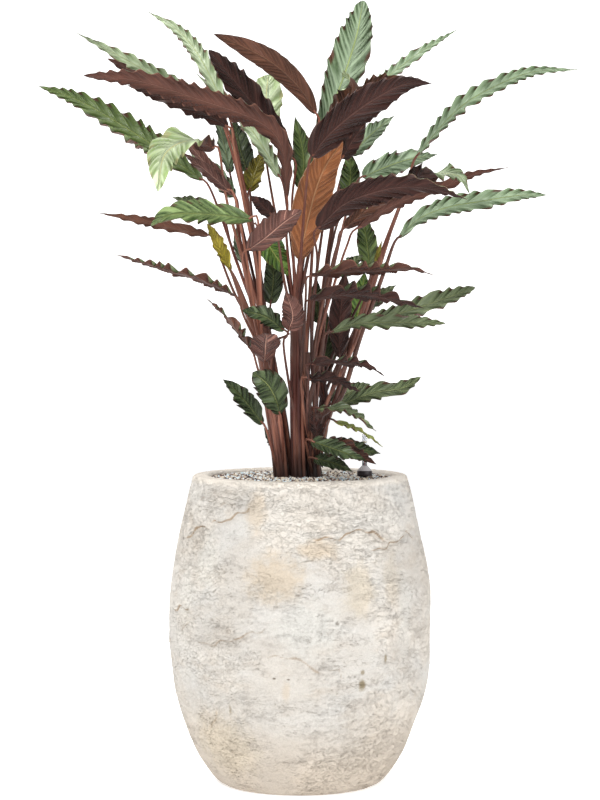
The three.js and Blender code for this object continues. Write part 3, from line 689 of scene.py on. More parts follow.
SMALL_LEAVES = (
    Leaf("narrow_left", "left_back", 20, (30, 30), Top.GREY, 0.8, ((-84, 790, 22),), ((-97, 848, 28),
         (-106, 890, 34), (-117, 935, 40))),
    Leaf("dark_behind_left", "left_back", 32, (5, 5), Top.DARK, 0.8, ((-64, 760, 42),), ((-73, 850, 62),
         (-84, 885, 74), (-92, 923, 90))),
    Leaf("olive_left", "left_back", 26, (20, 20), Top.OLIVE, 0.8, ((-64, 770, 22),), ((-70, 822, 26),
         (-62, 850, 32), (-50, 880, 38))),
    Leaf("folded_left", "left_back", 18, (155, 150), Top.MID, 0.8, ((-84, 760, 0),), ((-95, 818, -2),
         (-128, 858, -6), (-173, 912, -10)), under=Under.ROSY),
    Leaf("rosy_left", "left_front", 18, (160, 160), Top.MID, 0.8, ((-76, 740, -14),), ((-97, 822, -18),
         (-128, 850, -26), (-163, 877, -36)), under=Under.ROSY),
    Leaf("grey_left", "left_back", 24, (20, 20), Top.GREY, 0.9, ((-80, 740, 12),), ((-92, 815, 14),
         (-122, 850, 20), (-155, 882, 28))),
    Leaf("small_left", "left_back", 20, (30, 30), Top.MID, 1.0, ((-90, 730, 26),), ((-112, 788, 30),
         (-140, 804, 34), (-177, 815, 40))),
    Leaf("small_burgundy", "centre_front", 20, (170, 170), Top.DARK, 1.0, ((-20, 690, -18), (-31, 765, -22)),
         ((-38, 789, -26), (-53, 804, -28), (-69, 817, -32)), under=Under.DEEP),
    Leaf("rolled_top", "centre_front", 36, (172, 168, 150, 35), Top.LIME, 0.7, ((29, 820, -6),),
         ((46, 900, -12), (60, 935, -18), (72, 966, -27), (60, 990, -38)), 0.5, under=Under.BROWN),
    Leaf("burgundy_right", "right_front", 26, (175, 170), Top.DARK, 0.8, ((17, 640, -6), (36, 800, -6)),
         ((58, 868, -8), (72, 892, -12), (92, 920, -20)), under=Under.DEEP),
    Leaf("short_upright", "right_back", 27, (0, 10), Top.FERN, 0.8, ((28, 640, 16), (48, 765, 14)),
         ((66, 812, 12), (70, 845, 14), (68, 880, 14))),
    Leaf("spear", "right_back", 7, (0, 0), Top.OLIVE, 0.3, ((34, 540, 17), (92, 660, 20)), ((104, 715, 14),
         (108, 735, 12), (114, 756, 10)), under=Under.OLIVE),
    Leaf("small_right", "right_back", 22, (20, 20), Top.MID, 1.0, ((28, 560, 18), (44, 660, 18)),
         ((55, 706, 16), (72, 722, 14), (87, 735, 12))),
    Leaf("short_right", "right_back", 20, (20, 20), Top.MID, 1.0, ((34, 540, 44), (70, 620, 66)),
         ((92, 660, 84), (112, 678, 92), (133, 693, 100))),
    Leaf("green_behind", "right_back", 20, (5, 5), Top.DARK, 0.8, ((24, 560, 24),), ((26, 640, 28),
         (23, 672, 32), (22, 705, 34))),
    Leaf("dark_behind", "right_back", 28, (5, 5), Top.DARK, 0.8, ((26, 500, 24),), ((31, 560, 32),
         (36, 610, 36), (38, 655, 40))),
    Leaf("low_burgundy", "right_front", 20, (130, 130), Top.DARK, 1.2, ((8, 500, -24),), ((10, 562, -36),
         (45, 562, -48), (84, 545, -64)), under=Under.DEEP),
    Leaf("low_back", "right_back", 26, (20, 20), Top.MID, 1.0, ((28, 480, 16),), ((45, 528, 20),
         (70, 545, 28), (98, 556, 38))),
    Leaf("thin_low", "right_front", 20, (70, 70), Top.MID, 1.6, ((16, 480, -22),), ((24, 521, -32),
         (64, 518, -46), (106, 490, -64))),
    Leaf("yellow_low", "right_front", 11, (70, 60), Top.LEMON, 1.1, ((30, 478, -20),), ((47, 504, -28),
         (85, 489, -40), (115, 468, -52)), under=Under.BROWN),
    Leaf("burgundy_low", "right_front", 22, (150, 150), Top.DARK, 1.2, ((24, 460, -22),), ((38, 477, -34),
         (70, 463, -44), (106, 444, -54))),
    Leaf("green_low", "right_front", 22, (20, 20), Top.DARK, 1.3, ((28, 455, -18),), ((50, 474, -22),
         (80, 465, -26), (112, 459, -30))),
    Leaf("curled_behind", "centre_front", 22, (140, 120), Top.OLIVE, 1.2, ((10, 760, -8), (40, 850, -6)),
         ((68, 920, -24), (88, 958, -50), (112, 975, -76), (152, 977, -110)), 0.5, under=Under.BROWN),
    Leaf("green_between", "left_back", 13, (20, 20), Top.GREY, 0.8, ((-66, 690, 6),), ((-80, 724, 4),
         (-87, 750, 2), (-88, 775, 0))),
    Leaf("burgundy_beside", "right_front", 18, (165, 160), Top.DARK, 1.2, ((18, 462, -24),), ((25, 478, -32),
         (22, 496, -38), (15, 514, -42)), under=Under.DEEP),
    Leaf("green_low_left", "left_back", 20, (20, 20), Top.DARK, 1.0, ((-20, 450, 20),), ((-22, 461, 24),
         (-36, 476, 28), (-50, 494, 30))),
    Leaf("lowest", "right_front", 20, (25, 25), Top.DARK, 1.0, ((14, 444, -22),), ((20, 452, -36),
         (45, 446, -48), (73, 434, -60))),
)


@dataclass(frozen=True)
class LeafSkin:
    """The finish of one side of the leaves: how it shines and how strong its parts are, depths in metres."""

    name: str
    roughness: float
    sheen: float
    gloss: float
    band_strength: float
    # How strong the painted highlight on the crests is.
    crest_strength: float
    peek: float
    rim: float
    vein_strength: float
    bloom: float
    vein_depth: float = 0.0022
    fine_veins: float = 10.0

    def build(self) -> Material:
        """Makes the material: oblique pleats, fine veins, a midrib and a darker margin.

        Returns:
            The leaf material.
        """
        skin = LeafSurface(self)
        skin.colour(skin.shaded(skin.painted(), skin.shade()))
        skin.rough(skin.ease(skin.mottle, 0.2, 0.8, self.roughness - 0.08, self.roughness + 0.1))
        skin.bump(skin.relief(), self.vein_depth)
        skin.bump(skin.noise(skin.place, 700.0, 3.0), self.bloom)
        return skin.material


class LeafSurface(Surface):
    """A leaf material's tree, with what it reads of the pleats and the tones kept on each blade."""

    def __init__(self, finish: LeafSkin) -> None:
        """Reads the vein map of the blade.

        Args:
            finish: How this side of the leaves looks.
        """
        super().__init__(finish.name, Sheen_Weight=finish.sheen, Sheen_Roughness=0.4,
                         Specular_IOR_Level=finish.gloss)
        self.finish = finish
        phase, across, _ = self.split(self.node("ShaderNodeUVMap", uv_map="blade").outputs[0])
        worn = self.noise(self.place, 60.0, 2.0, 0.5)
        turn = self.times(self.math("MULTIPLY_ADD", worn, 0.08, phase), 2 * math.pi)
        self.side = self.math("ABSOLUTE", across)
        self.flute = self.math("SINE", turn)
        self.pleat = self.math("SINE", self.times(turn, 2.0))
        self.fine = self.math("SINE", self.times(turn, finish.fine_veins))
        self.mottle = self.noise(self.place, 130.0, 2.0, 0.5)
        self.inner = self.ease(self.side, 0.02, 0.14)
        self.rib = self.ease(self.side, 0.055, 0.025)
        self.pleating = self.attribute("pleating")
        self.along = self.times(self.math("SUBTRACT", 1.0, self.pleating),
                                self.ease(self.side, 0.05, 0.6, 0.0, 0.75))
        self.near = self.math("MAXIMUM", self.ease(self.side, 0.3, 0.95), self.along)

    def painted(self) -> Any:
        """The flesh with its stripes and painted valley shade, veins, midrib, shown underside of curled waves
        and margin.

        Returns:
            The colour.
        """
        side, finish = self.side, self.finish
        # The stripes darken the valleys of the flutes and pleats: partly the leaf's own stripes, partly
        # painted shade.
        deep = self.times(self.ease(self.flute, 0.3, -0.8), self.near)
        narrow = self.times(self.ease(self.pleat, 0.1, -0.75), self.ease(side, 0.1, 0.45, 0.0, 0.95),
                            self.pleating)
        band = self.times(self.math("MAXIMUM", deep, narrow), self.ease(self.mottle, 0.25, 0.65, 0.55, 1.0),
                          finish.band_strength)
        vein = self.times(self.ease(self.pleat, 0.94, 0.998), self.inner)
        hair = self.times(self.ease(self.fine, 0.5, 1.0, 0.0, 0.2), self.pleating)
        light = self.times(self.math("MAXIMUM", vein, hair), finish.vein_strength)
        curl = self.times(self.ease(side, 0.74, 0.86), self.ease(self.flute, -0.25, -0.8), finish.peek)
        margin = self.times(self.ease(side, 0.94, 0.985), finish.rim)
        colour = self.attribute("flesh", "Color")
        for share, part in ((band, "stripe"), (light, "rib"), (self.rib, "rib"), (curl, "edge"),
                            (margin, "edge")):
            colour = self.mix(share, colour, self.attribute(part, "Color"))
        return colour

    def shade(self) -> Any:
        """How light the leaf is: cloudy, mottled, and lighter on the crests of the pleats, a painted
        highlight.

        Returns:
            A number that multiplies the colour.
        """
        # Painted highlight: the crests of the pleats and flutes are made lighter.
        crest = self.math("MAXIMUM",
                          self.times(self.ease(self.pleat, -0.1, 0.9), self.pleating, self.inner),
                          self.times(self.ease(self.flute, 0.0, 0.95), self.near))
        cloud = self.ease(self.noise(self.place, 24.0, 3.0), 0.3, 0.7, 0.84, 1.12)
        return self.times(cloud, self.ease(self.mottle, 0.2, 0.8, 0.92, 1.06),
                          self.math("MULTIPLY_ADD", crest, self.finish.crest_strength, 1.0))

    def relief(self) -> Any:
        """The height of pleats, fine veins, flutes and midrib.

        Returns:
            The height.
        """
        fine = self.math("ADD", self.times(self.pleat, 0.7), self.times(self.fine, 0.12))
        broad = self.math("ADD", self.times(fine, self.inner, self.pleating),
                          self.times(self.flute, 0.9, self.along))
        return self.math("ADD", broad, self.times(self.rib, 1.2))


@dataclass(frozen=True)
class BladeShape:
    """How every blade is formed, in millimetres and shares of its half width."""

    thickness: float = 0.6
    margin_thinning: float = 0.22
    fold: float = 0.28
    wave_share: float = 0.36
    most_wave: float = 6.6
    broad_wave: float = 26.0
    slim_wave: float = 20.0
    least_waves: float = 5.0
    second_wave: float = 0.25
    wave_strength: tuple[float, float] = (0.55, 1.25)
    row_step: float = 2.4
    least_rows: int = 36
    most_rows: int = 130
    columns: int = 9
    column_crowding: float = 0.92
    scallop: float = 0.1
    slim_scallop: float = 0.24
    lobe_level: float = 0.65
    slant_share: float = 0.2
    slant_reach: float = 2.1
    slant_power: float = 1.2
    pleat: float = 0.05
    broad: float = 4.5
    slim: float = 9.0
    least_pleating: float = 0.1
    usual_fullest: float = 0.38
    blunt_fullest: float = 0.6
    full_share: float = 0.53
    roundness: float = 0.5
    pointedness: float = 0.4
    tip_narrowing: float = 0.25
    least_half: float = 0.5

    def half_width(self, leaf: Leaf, along: Array) -> Array:
        """Half the blade's width.

        Args:
            leaf: The leaf's row.
            along: Where on the midrib, by share of its length.

        Returns:
            Half the width at each place.
        """
        bend = math.log(0.5) / math.log(leaf.fullest)
        pointed = (self.blunt_fullest - leaf.fullest) / (self.blunt_fullest - self.usual_fullest)
        power = self.roundness + self.pointedness * np.clip(pointed, 0, 1) * along * along
        rounded = np.clip(np.sin(np.pi * along**bend), 0, None) ** power
        return np.maximum(self.full_share * leaf.width * rounded * (1 - self.tip_narrowing * along**4),
                          self.least_half)


class Blade:
    """One leaf blade: a thin closed sheet of two skins, folded at the midrib and waved at its margin."""

    def __init__(self, leaf: Leaf, shape: BladeShape) -> None:
        """Measures the blade.

        Args:
            leaf: The leaf's row.
            shape: How every blade is formed.
        """
        self.leaf = leaf
        self.shape = shape
        self.path = Path([EYE.sight(point) for point in leaf.midrib])
        self.chance = np.random.default_rng(zlib.crc32(leaf.name.encode()))
        rows = round(self.path.length / shape.row_step)
        self.rows = int(np.clip(rows, shape.least_rows, shape.most_rows)) + 1
        slimness = self.path.length / leaf.width
        self.pleating = float(np.interp(slimness, (shape.broad, shape.slim), (1.0, shape.least_pleating)))
        wave_length = shape.slim_wave + (shape.broad_wave - shape.slim_wave) * self.pleating
        self.waves = max(shape.least_waves, round(self.path.length / wave_length))

    def frames(self, along: Array) -> tuple[Array, Array, Array]:
        """How the blade stands along its midrib.

        Args:
            along: Where, by share of the midrib's length.

        Returns:
            Places on the midrib, the way the green side looks there, and the way across.
        """
        place = self.path.at(along)
        forward = self.path.heading(along)
        front = np.array([0.0, -1.0, 0.0]) + forward * forward[:, 1:2]
        front /= np.linalg.norm(front, axis=1, keepdims=True)
        leans_left = self.path.line[-1][0] < self.path.line[0][0]
        upward = np.cross(forward, front) * (1 if leans_left else -1)
        face = self.leaf.face
        angle = np.radians(np.interp(along, np.linspace(0, 1, len(face)), face))[:, None]
        facing = front * np.cos(angle) + upward * np.sin(angle)
        return place, facing, np.cross(facing, forward)

    def phase(self, along: Array, side: Array) -> Array:
        """Counts the waves, whose crests are also the side veins.

        Args:
            along: The share of the midrib's length at each place.
            side: The share of the way from the midrib to the margin, below 0 on one side.

        Returns:
            How many waves have passed at each place.
        """
        shift = self.chance.uniform(0, 1, 4)
        half = self.shape.half_width(self.leaf, along)
        slant = min(self.shape.slant_share * self.path.length, self.shape.slant_reach * float(half.max()))
        lean = slant * np.sqrt(half / half.max()) / self.path.length
        start = along - lean * np.abs(side) ** self.shape.slant_power
        other = np.where(side < 0, shift[1], shift[2])
        slow = 0.3 * np.sin(2 * np.pi * (1.7 * start + shift[0]))
        quick = 0.12 * np.sin(2 * np.pi * (4.3 * start + other))
        return self.waves * start + (slow + quick) + np.where(side < 0, 0.0, 0.3 + 0.3 * shift[3])

    def skin(self) -> tuple[Array, Array, Array, Array]:
        """The blade's middle surface.

        Returns:
            Its places, the way it looks, the wave count and the share across, on a grid.
        """
        shape = self.shape
        along = np.linspace(0, 1, self.rows)
        crowding = shape.column_crowding
        spread = np.sin(np.linspace(-1, 1, 2 * shape.columns + 1) * math.pi / 2 * crowding)
        across_shares = spread / math.sin(math.pi / 2 * crowding)
        place, facing, across = self.frames(along)
        half = shape.half_width(self.leaf, along)[:, None]
        along_grid, side = np.meshgrid(along, across_shares, indexing="ij")
        phase = self.phase(along_grid, side)
        reach = np.abs(side)
        swell = np.sin(2 * np.pi * phase)
        wave = swell + shape.second_wave * self.pleating * np.sin(4 * np.pi * phase + 0.8)
        ends = smooth_step(0.0, 0.1, along_grid) * smooth_step(1.0, 0.93, along_grid)
        strength = self.chance.uniform(*shape.wave_strength, (2, int(self.waves) + 3))
        wave_count = np.arange(strength.shape[1])
        first, second = (np.interp(along_grid * (self.waves + 1), wave_count, row) for row in strength)
        uneven = np.where(side < 0, first, second)
        height = np.minimum(shape.wave_share * half, shape.most_wave) * self.leaf.ruffle * uneven * ends
        lift = shape.fold * half * reach + height * reach ** (1.0 + 0.8 * self.pleating) * wave
        pleats = 0.7 * self.pleating * np.sin(4 * np.pi * phase) + 0.4 * swell
        lift += shape.pleat * half * np.sin(np.pi * reach) * pleats
        lobes = np.abs(np.sin(np.pi * phase)) - shape.lobe_level
        scallop = shape.slim_scallop + (shape.scallop - shape.slim_scallop) * self.pleating
        width = half * side * (1 + scallop * lobes * reach**3 * ends * uneven * min(self.leaf.ruffle, 1))
        points = place[:, None] + across[:, None] * width[..., None] + facing[:, None] * lift[..., None]
        return points, np.broadcast_to(facing[:, None], points.shape), phase, side

    def tone(self, tone: Tone, along: Array) -> dict[str, Array]:
        """The colours of one skin, a little lighter to the tip and different on each leaf.

        Args:
            tone: The colours that they start from.
            along: Where, by share of the midrib's length.

        Returns:
            For each part of the tone, its colour at each place.
        """
        light = self.chance.uniform(0.9, 1.08) * (0.94 + 0.12 * along)[:, None]
        found = {}
        for part in ("flesh", "stripe", "rib", "edge"):
            colour = np.repeat(np.array(linear(getattr(tone, part)))[None], len(along), axis=0)
            colour[:, :3] *= light
            found[part] = colour
        return found

    def mesh(self, finishes: Sequence[Material]) -> Mesh:
        """Makes the blade's mesh, with its tones, its vein map and sharp edges round both skins.

        Args:
            finishes: The upper and the under finish.

        Returns:
            A closed mesh in metres.
        """
        middle, facing, phase, side = self.skin()
        rows, columns = side.shape
        thin = self.shape.thickness * (0.5 - self.shape.margin_thinning * np.abs(side) ** 4)[..., None]
        count = rows * columns
        points = np.concatenate([(middle + way * facing * thin).reshape(-1, 3) for way in (1, -1)])
        grid = np.arange(count).reshape(rows, columns)
        corner, ahead = grid[:-1, :-1].ravel(), grid[1:, :-1].ravel()
        beyond, beside = grid[1:, 1:].ravel(), grid[:-1, 1:].ravel()
        upper = np.stack([corner, ahead, beyond, beside], axis=1)
        under = np.stack([corner, beside, beyond, ahead], axis=1) + count
        loop = np.concatenate([grid[0, :-1], grid[:-1, -1], grid[-1, :0:-1], grid[:0:-1, 0]])
        following = np.roll(loop, -1)
        rim = np.stack([loop, following, following + count, loop + count], axis=1)
        faces = np.concatenate([upper, under, rim])
        mesh = mesh_of(f"leaf_{self.leaf.name}", points, faces.tolist(), finishes)
        indices = np.concatenate([np.zeros(len(upper)), np.ones(len(under) + len(rim))]).astype(np.int32)
        mesh.polygons.foreach_set("material_index", indices)
        ends = np.zeros(len(mesh.edges) * 2, np.int64)
        mesh.edges.foreach_get("vertices", ends)
        on_rim = np.isin(ends, np.concatenate([loop, loop + count])).reshape(-1, 2).all(axis=1)
        one_side = (ends < count).reshape(-1, 2)
        sharp = on_rim & (one_side[:, 0] == one_side[:, 1])
        mesh.attributes.new("sharp_edge", "BOOLEAN", "EDGE").data.foreach_set("value", sharp)
        self.paint(mesh, phase, side)
        return mesh

    def paint(self, mesh: Mesh, phase: Array, side: Array) -> None:
        """Keeps the tones and the vein map on the mesh.

        Args:
            mesh: The blade's mesh.
            phase: The wave count, on the blade's grid.
            side: The share across, on the blade's grid.
        """
        rows, columns = side.shape
        along = np.repeat(np.linspace(0, 1, rows), columns)
        upper = self.tone(self.leaf.top.value, along)
        under = self.tone(self.leaf.under.value, along)
        for part, colours in upper.items():
            kept = mesh.attributes.new(part, "FLOAT_COLOR", "POINT")
            kept.data.foreach_set("color", np.concatenate([colours, under[part]]).ravel())
        kept = mesh.attributes.new("pleating", "FLOAT", "POINT")
        kept.data.foreach_set("value", np.full(2 * rows * columns, self.pleating))
        corners = np.zeros(len(mesh.loops), np.int64)
        mesh.loops.foreach_get("vertex_index", corners)
        corners %= side.size
        veins = mesh.uv_layers.new(name="blade")
        spots = np.stack([phase.ravel()[corners], side.ravel()[corners]], axis=1)
        veins.data.foreach_set("uv", spots.ravel())


@dataclass
class Foliage:
    """All the leaf blades."""

    shape: BladeShape = BladeShape()
    upward_face: float = 92.0
    upper: LeafSkin = LeafSkin("leaf upper side", roughness=0.34, sheen=0.0, gloss=0.5, band_strength=1.0,
                               crest_strength=0.22, peek=0.85, rim=0.35, vein_strength=0.16, bloom=0.00012)
    under: LeafSkin = LeafSkin("leaf underside", roughness=0.56, sheen=0.08, gloss=0.25, band_strength=0.75,
                               crest_strength=0.12, peek=0.0, rim=0.8, vein_strength=0.6, bloom=0.0003)

    def build(self) -> None:
        """Makes each blade and fixes it in place of its solid."""
        finishes = [self.upper.build(), self.under.build()]
        for leaf in (*LARGE_LEAVES, *SMALL_LEAVES):
            piece = linked(f"leaf_{leaf.name}", Blade(leaf, self.shape).mesh(finishes))
            shows_top = sum(leaf.face) / len(leaf.face) < self.upward_face
            node = f"blade_{leaf.name}" if leaf in LARGE_LEAVES else f"shoot_{leaf.shoot}"
            settle(piece, "leaf_green" if shows_top else "leaf_burgundy", node)


# Shoots


@dataclass(frozen=True)
class StalkSkin:
    """Maroon stalks: nearly black at the soil, where painted shade darkens them, rosy and ribbed higher up.
    """

    name: str
    low: Colour
    high: Colour
    soil: Colour = (24, 11, 9)
    # A lighter colour for the streaks, partly painted highlight, and for lighter strands.
    light: Colour = (176, 118, 94)
    # Heights in metres over which painted shade darkens the stalks towards the soil.
    soil_level: float = 0.424
    clear_level: float = 0.49
    fibre_depth: float = 0.0009

    def build(self) -> Material:
        """Makes the material.

        Returns:
            The stalk material.
        """
        skin = Surface(self.name, Specular_IOR_Level=0.45)
        height = skin.split(skin.place)[2]
        colour = skin.mix(skin.ease(height, 0.5, 0.85), linear(self.low), linear(self.high))
        fibre = skin.noise(skin.stretched(skin.place, (1.0, 1.0, 0.03)), 420.0, 4.0, 0.6)
        # Lengthwise lighter streaks: partly the stalks' own streaking, partly painted highlight.
        streak = skin.noise(skin.stretched(skin.place, (1.0, 1.0, 0.06)), 130.0, 3.0)
        colour = skin.mix(skin.ease(streak, 0.48, 0.72, 0.0, 0.45), colour, linear(self.light))
        colour = skin.mix(skin.ease(fibre, 0.5, 0.25, 0.0, 0.5), colour, linear(self.soil))
        chance = skin.attribute("shade")
        colour = skin.mix(skin.ease(chance, 0.55, 1.0, 0.0, 0.4), colour, linear(self.light))
        shade = skin.ease(skin.math("FRACT", skin.times(chance, 7.0)), 0.0, 1.0, 0.55, 1.25)
        # Painted shade: the stalks darken to nearly black at the soil.
        shade = skin.times(shade, skin.ease(height, self.soil_level, self.clear_level, 0.16, 1.0))
        skin.colour(skin.shaded(colour, shade))
        skin.rough(skin.ease(fibre, 0.3, 0.7, 0.38, 0.62))
        skin.bump(fibre, self.fibre_depth)
        return skin.material


class StalkTone(Enum):
    """The kinds of stalk."""

    ROSY = StalkSkin("rosy stalks", (122, 71, 56), (138, 86, 66))
    MAROON = StalkSkin("maroon stalks", (78, 29, 20), (110, 57, 41))
    DARK = StalkSkin("dark stalks", (64, 29, 21), (98, 52, 38))


@dataclass(frozen=True)
class Shoot:
    """One shoot: its place in the soil and the way of its trunk as x, height and depth."""

    foot: tuple[float, float]
    trunk: tuple[Point, ...]
    tone: StalkTone
    top: float = 5.0


SHOOTS = {
    "left_front": Shoot((-25, -12), ((-32, 480, -16), (-46, 560, -18), (-55, 610, -20)), StalkTone.ROSY, 6.5),
    "left_back": Shoot((-22, 10), ((-24, 480, 13), (-36, 560, 14), (-47, 635, 14)), StalkTone.MAROON, 6.5),
    "centre_front": Shoot((-1, -17), ((-3, 500, -17), (-4, 600, -18), (-6, 660, -20)), StalkTone.MAROON, 8.5),
    "centre_back": Shoot((-7, 28), ((2, 500, 24), (9, 600, 20)), StalkTone.DARK, 7.0),
    "right_front": Shoot((20, -11), ((18, 470, -12), (22, 515, -13)), StalkTone.DARK),
    "right_back": Shoot((14, 16), ((28, 480, 15), (42, 525, 15)), StalkTone.DARK),
}

WRAPPED_STALKS = {"yellowing": 5.2, "arching_right": 3.4, "long_right": 3.4, "straight_right": 3.2}


@dataclass(frozen=True)
class Strand:
    """One line that is swept into a stem. It thins from foot to tip, later where hold is higher."""

    path: Path
    foot: float
    tip: float
    hold: float = 1.0

    def radii(self, shares: Array) -> Array:
        """The stem's radius by share of its length."""
        return self.foot + (self.tip - self.foot) * shares**self.hold


@dataclass
class Shoots:
    """The trunks and the leaf stalks, swept along their paths. Sizes are radii and lengths in millimetres."""

    tip: float = 1.4
    widening: float = 0.005
    most: float = 3.0
    lead: float = 9.0
    overlap: float = 6.0
    trunk_foot: float = 9.0
    sheaths: int = 9
    sheath: float = 2.9
    sheath_tip: float = 0.8
    sheath_inset: float = 0.6
    step: float = 7.0
    least_places: int = 6
    hold: float = 5.0
    soil_top: float = 426.0
    trunk_sink: float = 4.0
    parting: float = 20.0
    sides: int = 14
    ribs: float = 5.0
    rib_depth: float = 0.08
    seed: int = 7

    def trunk_points(self, shoot: Shoot) -> list[list[float]]:
        """The way of a trunk, from a little under the grains."""
        start = [*shoot.foot, self.soil_top - self.trunk_sink]
        return [start, *[EYE.sight(point) for point in shoot.trunk]]

    def stalk_path(self, leaf: Leaf) -> Path:
        """The way of a stalk, from inside its trunk to its blade's base.

        Args:
            leaf: The leaf's row.

        Returns:
            The stalk's line.
        """
        midrib = Path([EYE.sight(point) for point in leaf.midrib])
        base = midrib.line[0]
        forward = midrib.heading(np.array([0.0]))[0]
        way = [np.array(EYE.sight(point)) for point in leaf.stalk]
        trunk = [np.array(point) for point in self.trunk_points(SHOOTS[leaf.shoot])]
        below = [point for point in trunk if point[2] < way[0][2] - self.parting]
        start = below[-1] + 0.2 * (below[-2] - below[-1]) if len(below) > 1 else below[0]
        return Path([start, *way, base - forward * self.lead, base + forward * self.overlap])

    def strands(self, name: str) -> list[Strand]:
        """A shoot's trunk, its sheaths and its stalks.

        Args:
            name: The shoot's name.

        Returns:
            All the lines that are swept for it.
        """
        chance = np.random.default_rng(zlib.crc32(name.encode()))
        trunk, top = Path(self.trunk_points(SHOOTS[name])), SHOOTS[name].top
        found = [Strand(trunk, self.trunk_foot, top)]
        for number in range(self.sheaths):
            angle = 2 * math.pi * (number + chance.uniform(-0.2, 0.2)) / self.sheaths
            shares = np.linspace(0, 1, 6) * chance.uniform(0.7, 1.0)
            reach = (self.trunk_foot + (top - self.trunk_foot) * shares - self.sheath_inset)[:, None]
            reach *= np.where(shares > shares[-2], 0.6, 1.0)[:, None]
            around = np.array([math.cos(angle), math.sin(angle), 0.0])
            way = Path(trunk.at(shares) + around * reach)
            found.append(Strand(way, self.sheath, self.sheath_tip, self.hold))
        for leaf in (*LARGE_LEAVES, *SMALL_LEAVES):
            if leaf.shoot == name:
                path = self.stalk_path(leaf)
                bare = min(self.tip + self.widening * path.length, self.most)
                wrap = WRAPPED_STALKS.get(leaf.name, bare)
                found.append(Strand(path, wrap, self.tip, self.hold if wrap > bare else 1.0))
        return found

    def curves(self, name: str) -> Object:
        """Draws the lines of a shoot.

        Args:
            name: The shoot's name.

        Returns:
            A curve object with one line for each strand.
        """
        data = bpy.data.curves.new(name, "CURVE")
        data.dimensions = "3D"
        for strand in self.strands(name):
            count = max(self.least_places, round(strand.path.length / self.step))
            shares = np.linspace(0, 1, count)
            line = data.splines.new("POLY")
            line.points.add(count - 1)
            places = np.concatenate([strand.path.at(shares) * MM, np.ones((count, 1))], axis=1)
            line.points.foreach_set("co", places.ravel())
            line.points.foreach_set("radius", strand.radii(shares) * MM)
        return linked(name, data)

    def recipe(self, finish: Material) -> Recipe:
        """Makes the geometry tree that sweeps a ribbed round along each line.

        Args:
            finish: The material that the tree sets.

        Returns:
            The tree.
        """
        tree = Recipe("ribbed stalks", {
            "Sides": ("NodeSocketInt", self.sides),
            "Ribs": ("NodeSocketFloat", self.ribs),
            "Rib Depth": ("NodeSocketFloat", self.rib_depth),
            "Seed": ("NodeSocketInt", self.seed),
            "Finish": ("NodeSocketMaterial", finish),
        })
        given = tree.given
        strand = tree.field("GeometryNodeInputIndex")
        random = {"ID": strand, "Seed": given["Seed"]}
        chance = tree.node("FunctionNodeRandomValue", random, data_type="FLOAT")
        lines = tree.store(given["Geometry"], "shade", chance.outputs[1], "CURVE")
        lines = tree.store(lines, "girth", tree.field("GeometryNodeInputRadius"))
        circle = {"Resolution": given["Sides"], "Radius": 1.0}
        round_line = tree.node("GeometryNodeCurvePrimitiveCircle", circle).outputs[0]
        turn = tree.times(tree.math("DIVIDE", strand, given["Sides"]), 2 * math.pi)
        outline = tree.store(round_line, "rib", tree.math("SINE", tree.times(turn, given["Ribs"])))
        sweep = tree.node("GeometryNodeCurveToMesh", {
            "Curve": lines, "Profile Curve": outline, "Fill Caps": True})
        if "Scale" in sweep.inputs:
            tree.put(sweep.inputs["Scale"], tree.field("GeometryNodeInputRadius"))
        depth = tree.times(tree.stored("girth"), given["Rib Depth"], tree.stored("rib"))
        push = tree.scaled(tree.field("GeometryNodeInputNormal"), depth)
        moved = tree.node("GeometryNodeSetPosition", {"Geometry": sweep.outputs[0], "Offset": push})
        tree.finish(moved.outputs[0])
        return tree

    def build(self) -> None:
        """Sweeps each shoot and fixes it in place of its solid."""
        finishes = {tone: tone.value.build() for tone in StalkTone}
        tree = self.recipe(finishes[StalkTone.MAROON])
        for name, shoot in SHOOTS.items():
            piece = tree.apply(self.curves(name), f"stalks_{name}")
            piece.data.materials[0] = finishes[shoot.tone]
            settle(piece, "stalk", f"shoot_{name}")


# Planter


@dataclass(frozen=True)
class Tear:
    """A torn edge in the clay: its line as angles and heights, and how far its upper lip stands out."""

    line: tuple[tuple[float, float], ...]
    lip: float


@dataclass(frozen=True)
class Mark:
    """A soft coloured patch on the clay: its angle, height, width and tallness, and how strong it is."""

    colour: Colour
    angle: float
    height: float
    wide: float
    tall: float
    strength: float


BEIGE = (200, 184, 162)
SAND = (198, 187, 169)
CLOUD = (211, 209, 203)
MOSS_BROWN = (128, 112, 78)
PIT_SHADE = (96, 84, 68)

CLAY_MARKS = (
    Mark(BEIGE, -11, 303, 44, 38, 0.75),
    Mark(SAND, -42, 70, 60, 50, 0.7),
    Mark(BEIGE, -22, 390, 16, 34, 0.6),
    Mark(BEIGE, 8, 342, 30, 15, 0.6),
    Mark(SAND, 26, 288, 26, 44, 0.7),
    Mark(SAND, 44, 300, 18, 44, 0.4),
    Mark(CLOUD, -47, 324, 26, 44, 0.7),
    Mark(CLOUD, 3, 237, 46, 42, 0.8),
    Mark(CLOUD, -60, 265, 18, 55, 0.6),
    Mark(CLOUD, 52, 250, 20, 60, 0.5),
    Mark(BEIGE, -6, 152, 7, 20, 0.5),
    Mark(MOSS_BROWN, 27.5, 160, 6, 9, 0.85),
    Mark(MOSS_BROWN, 27.5, 177, 4, 4, 0.7),
    Mark(MOSS_BROWN, 39, 193, 2.6, 6.5, 0.7),
    Mark(MOSS_BROWN, -33, 122, 2.6, 13, 0.5),
    # Painted shade of small pits, which have no hollow of their own.
    Mark(PIT_SHADE, -11, 171, 2.8, 1.6, 0.8),
    Mark(PIT_SHADE, -5, 170, 2.8, 1.6, 0.8),
    Mark(PIT_SHADE, 16, 244, 3.2, 3.0, 0.6),
    Mark(PIT_SHADE, -1, 282, 4.5, 2.2, 0.6),
    Mark(BEIGE, 150, 260, 60, 50, 0.6),
    Mark(CLOUD, 205, 170, 55, 60, 0.7),
    Mark(BEIGE, -110, 180, 50, 60, 0.5),
)

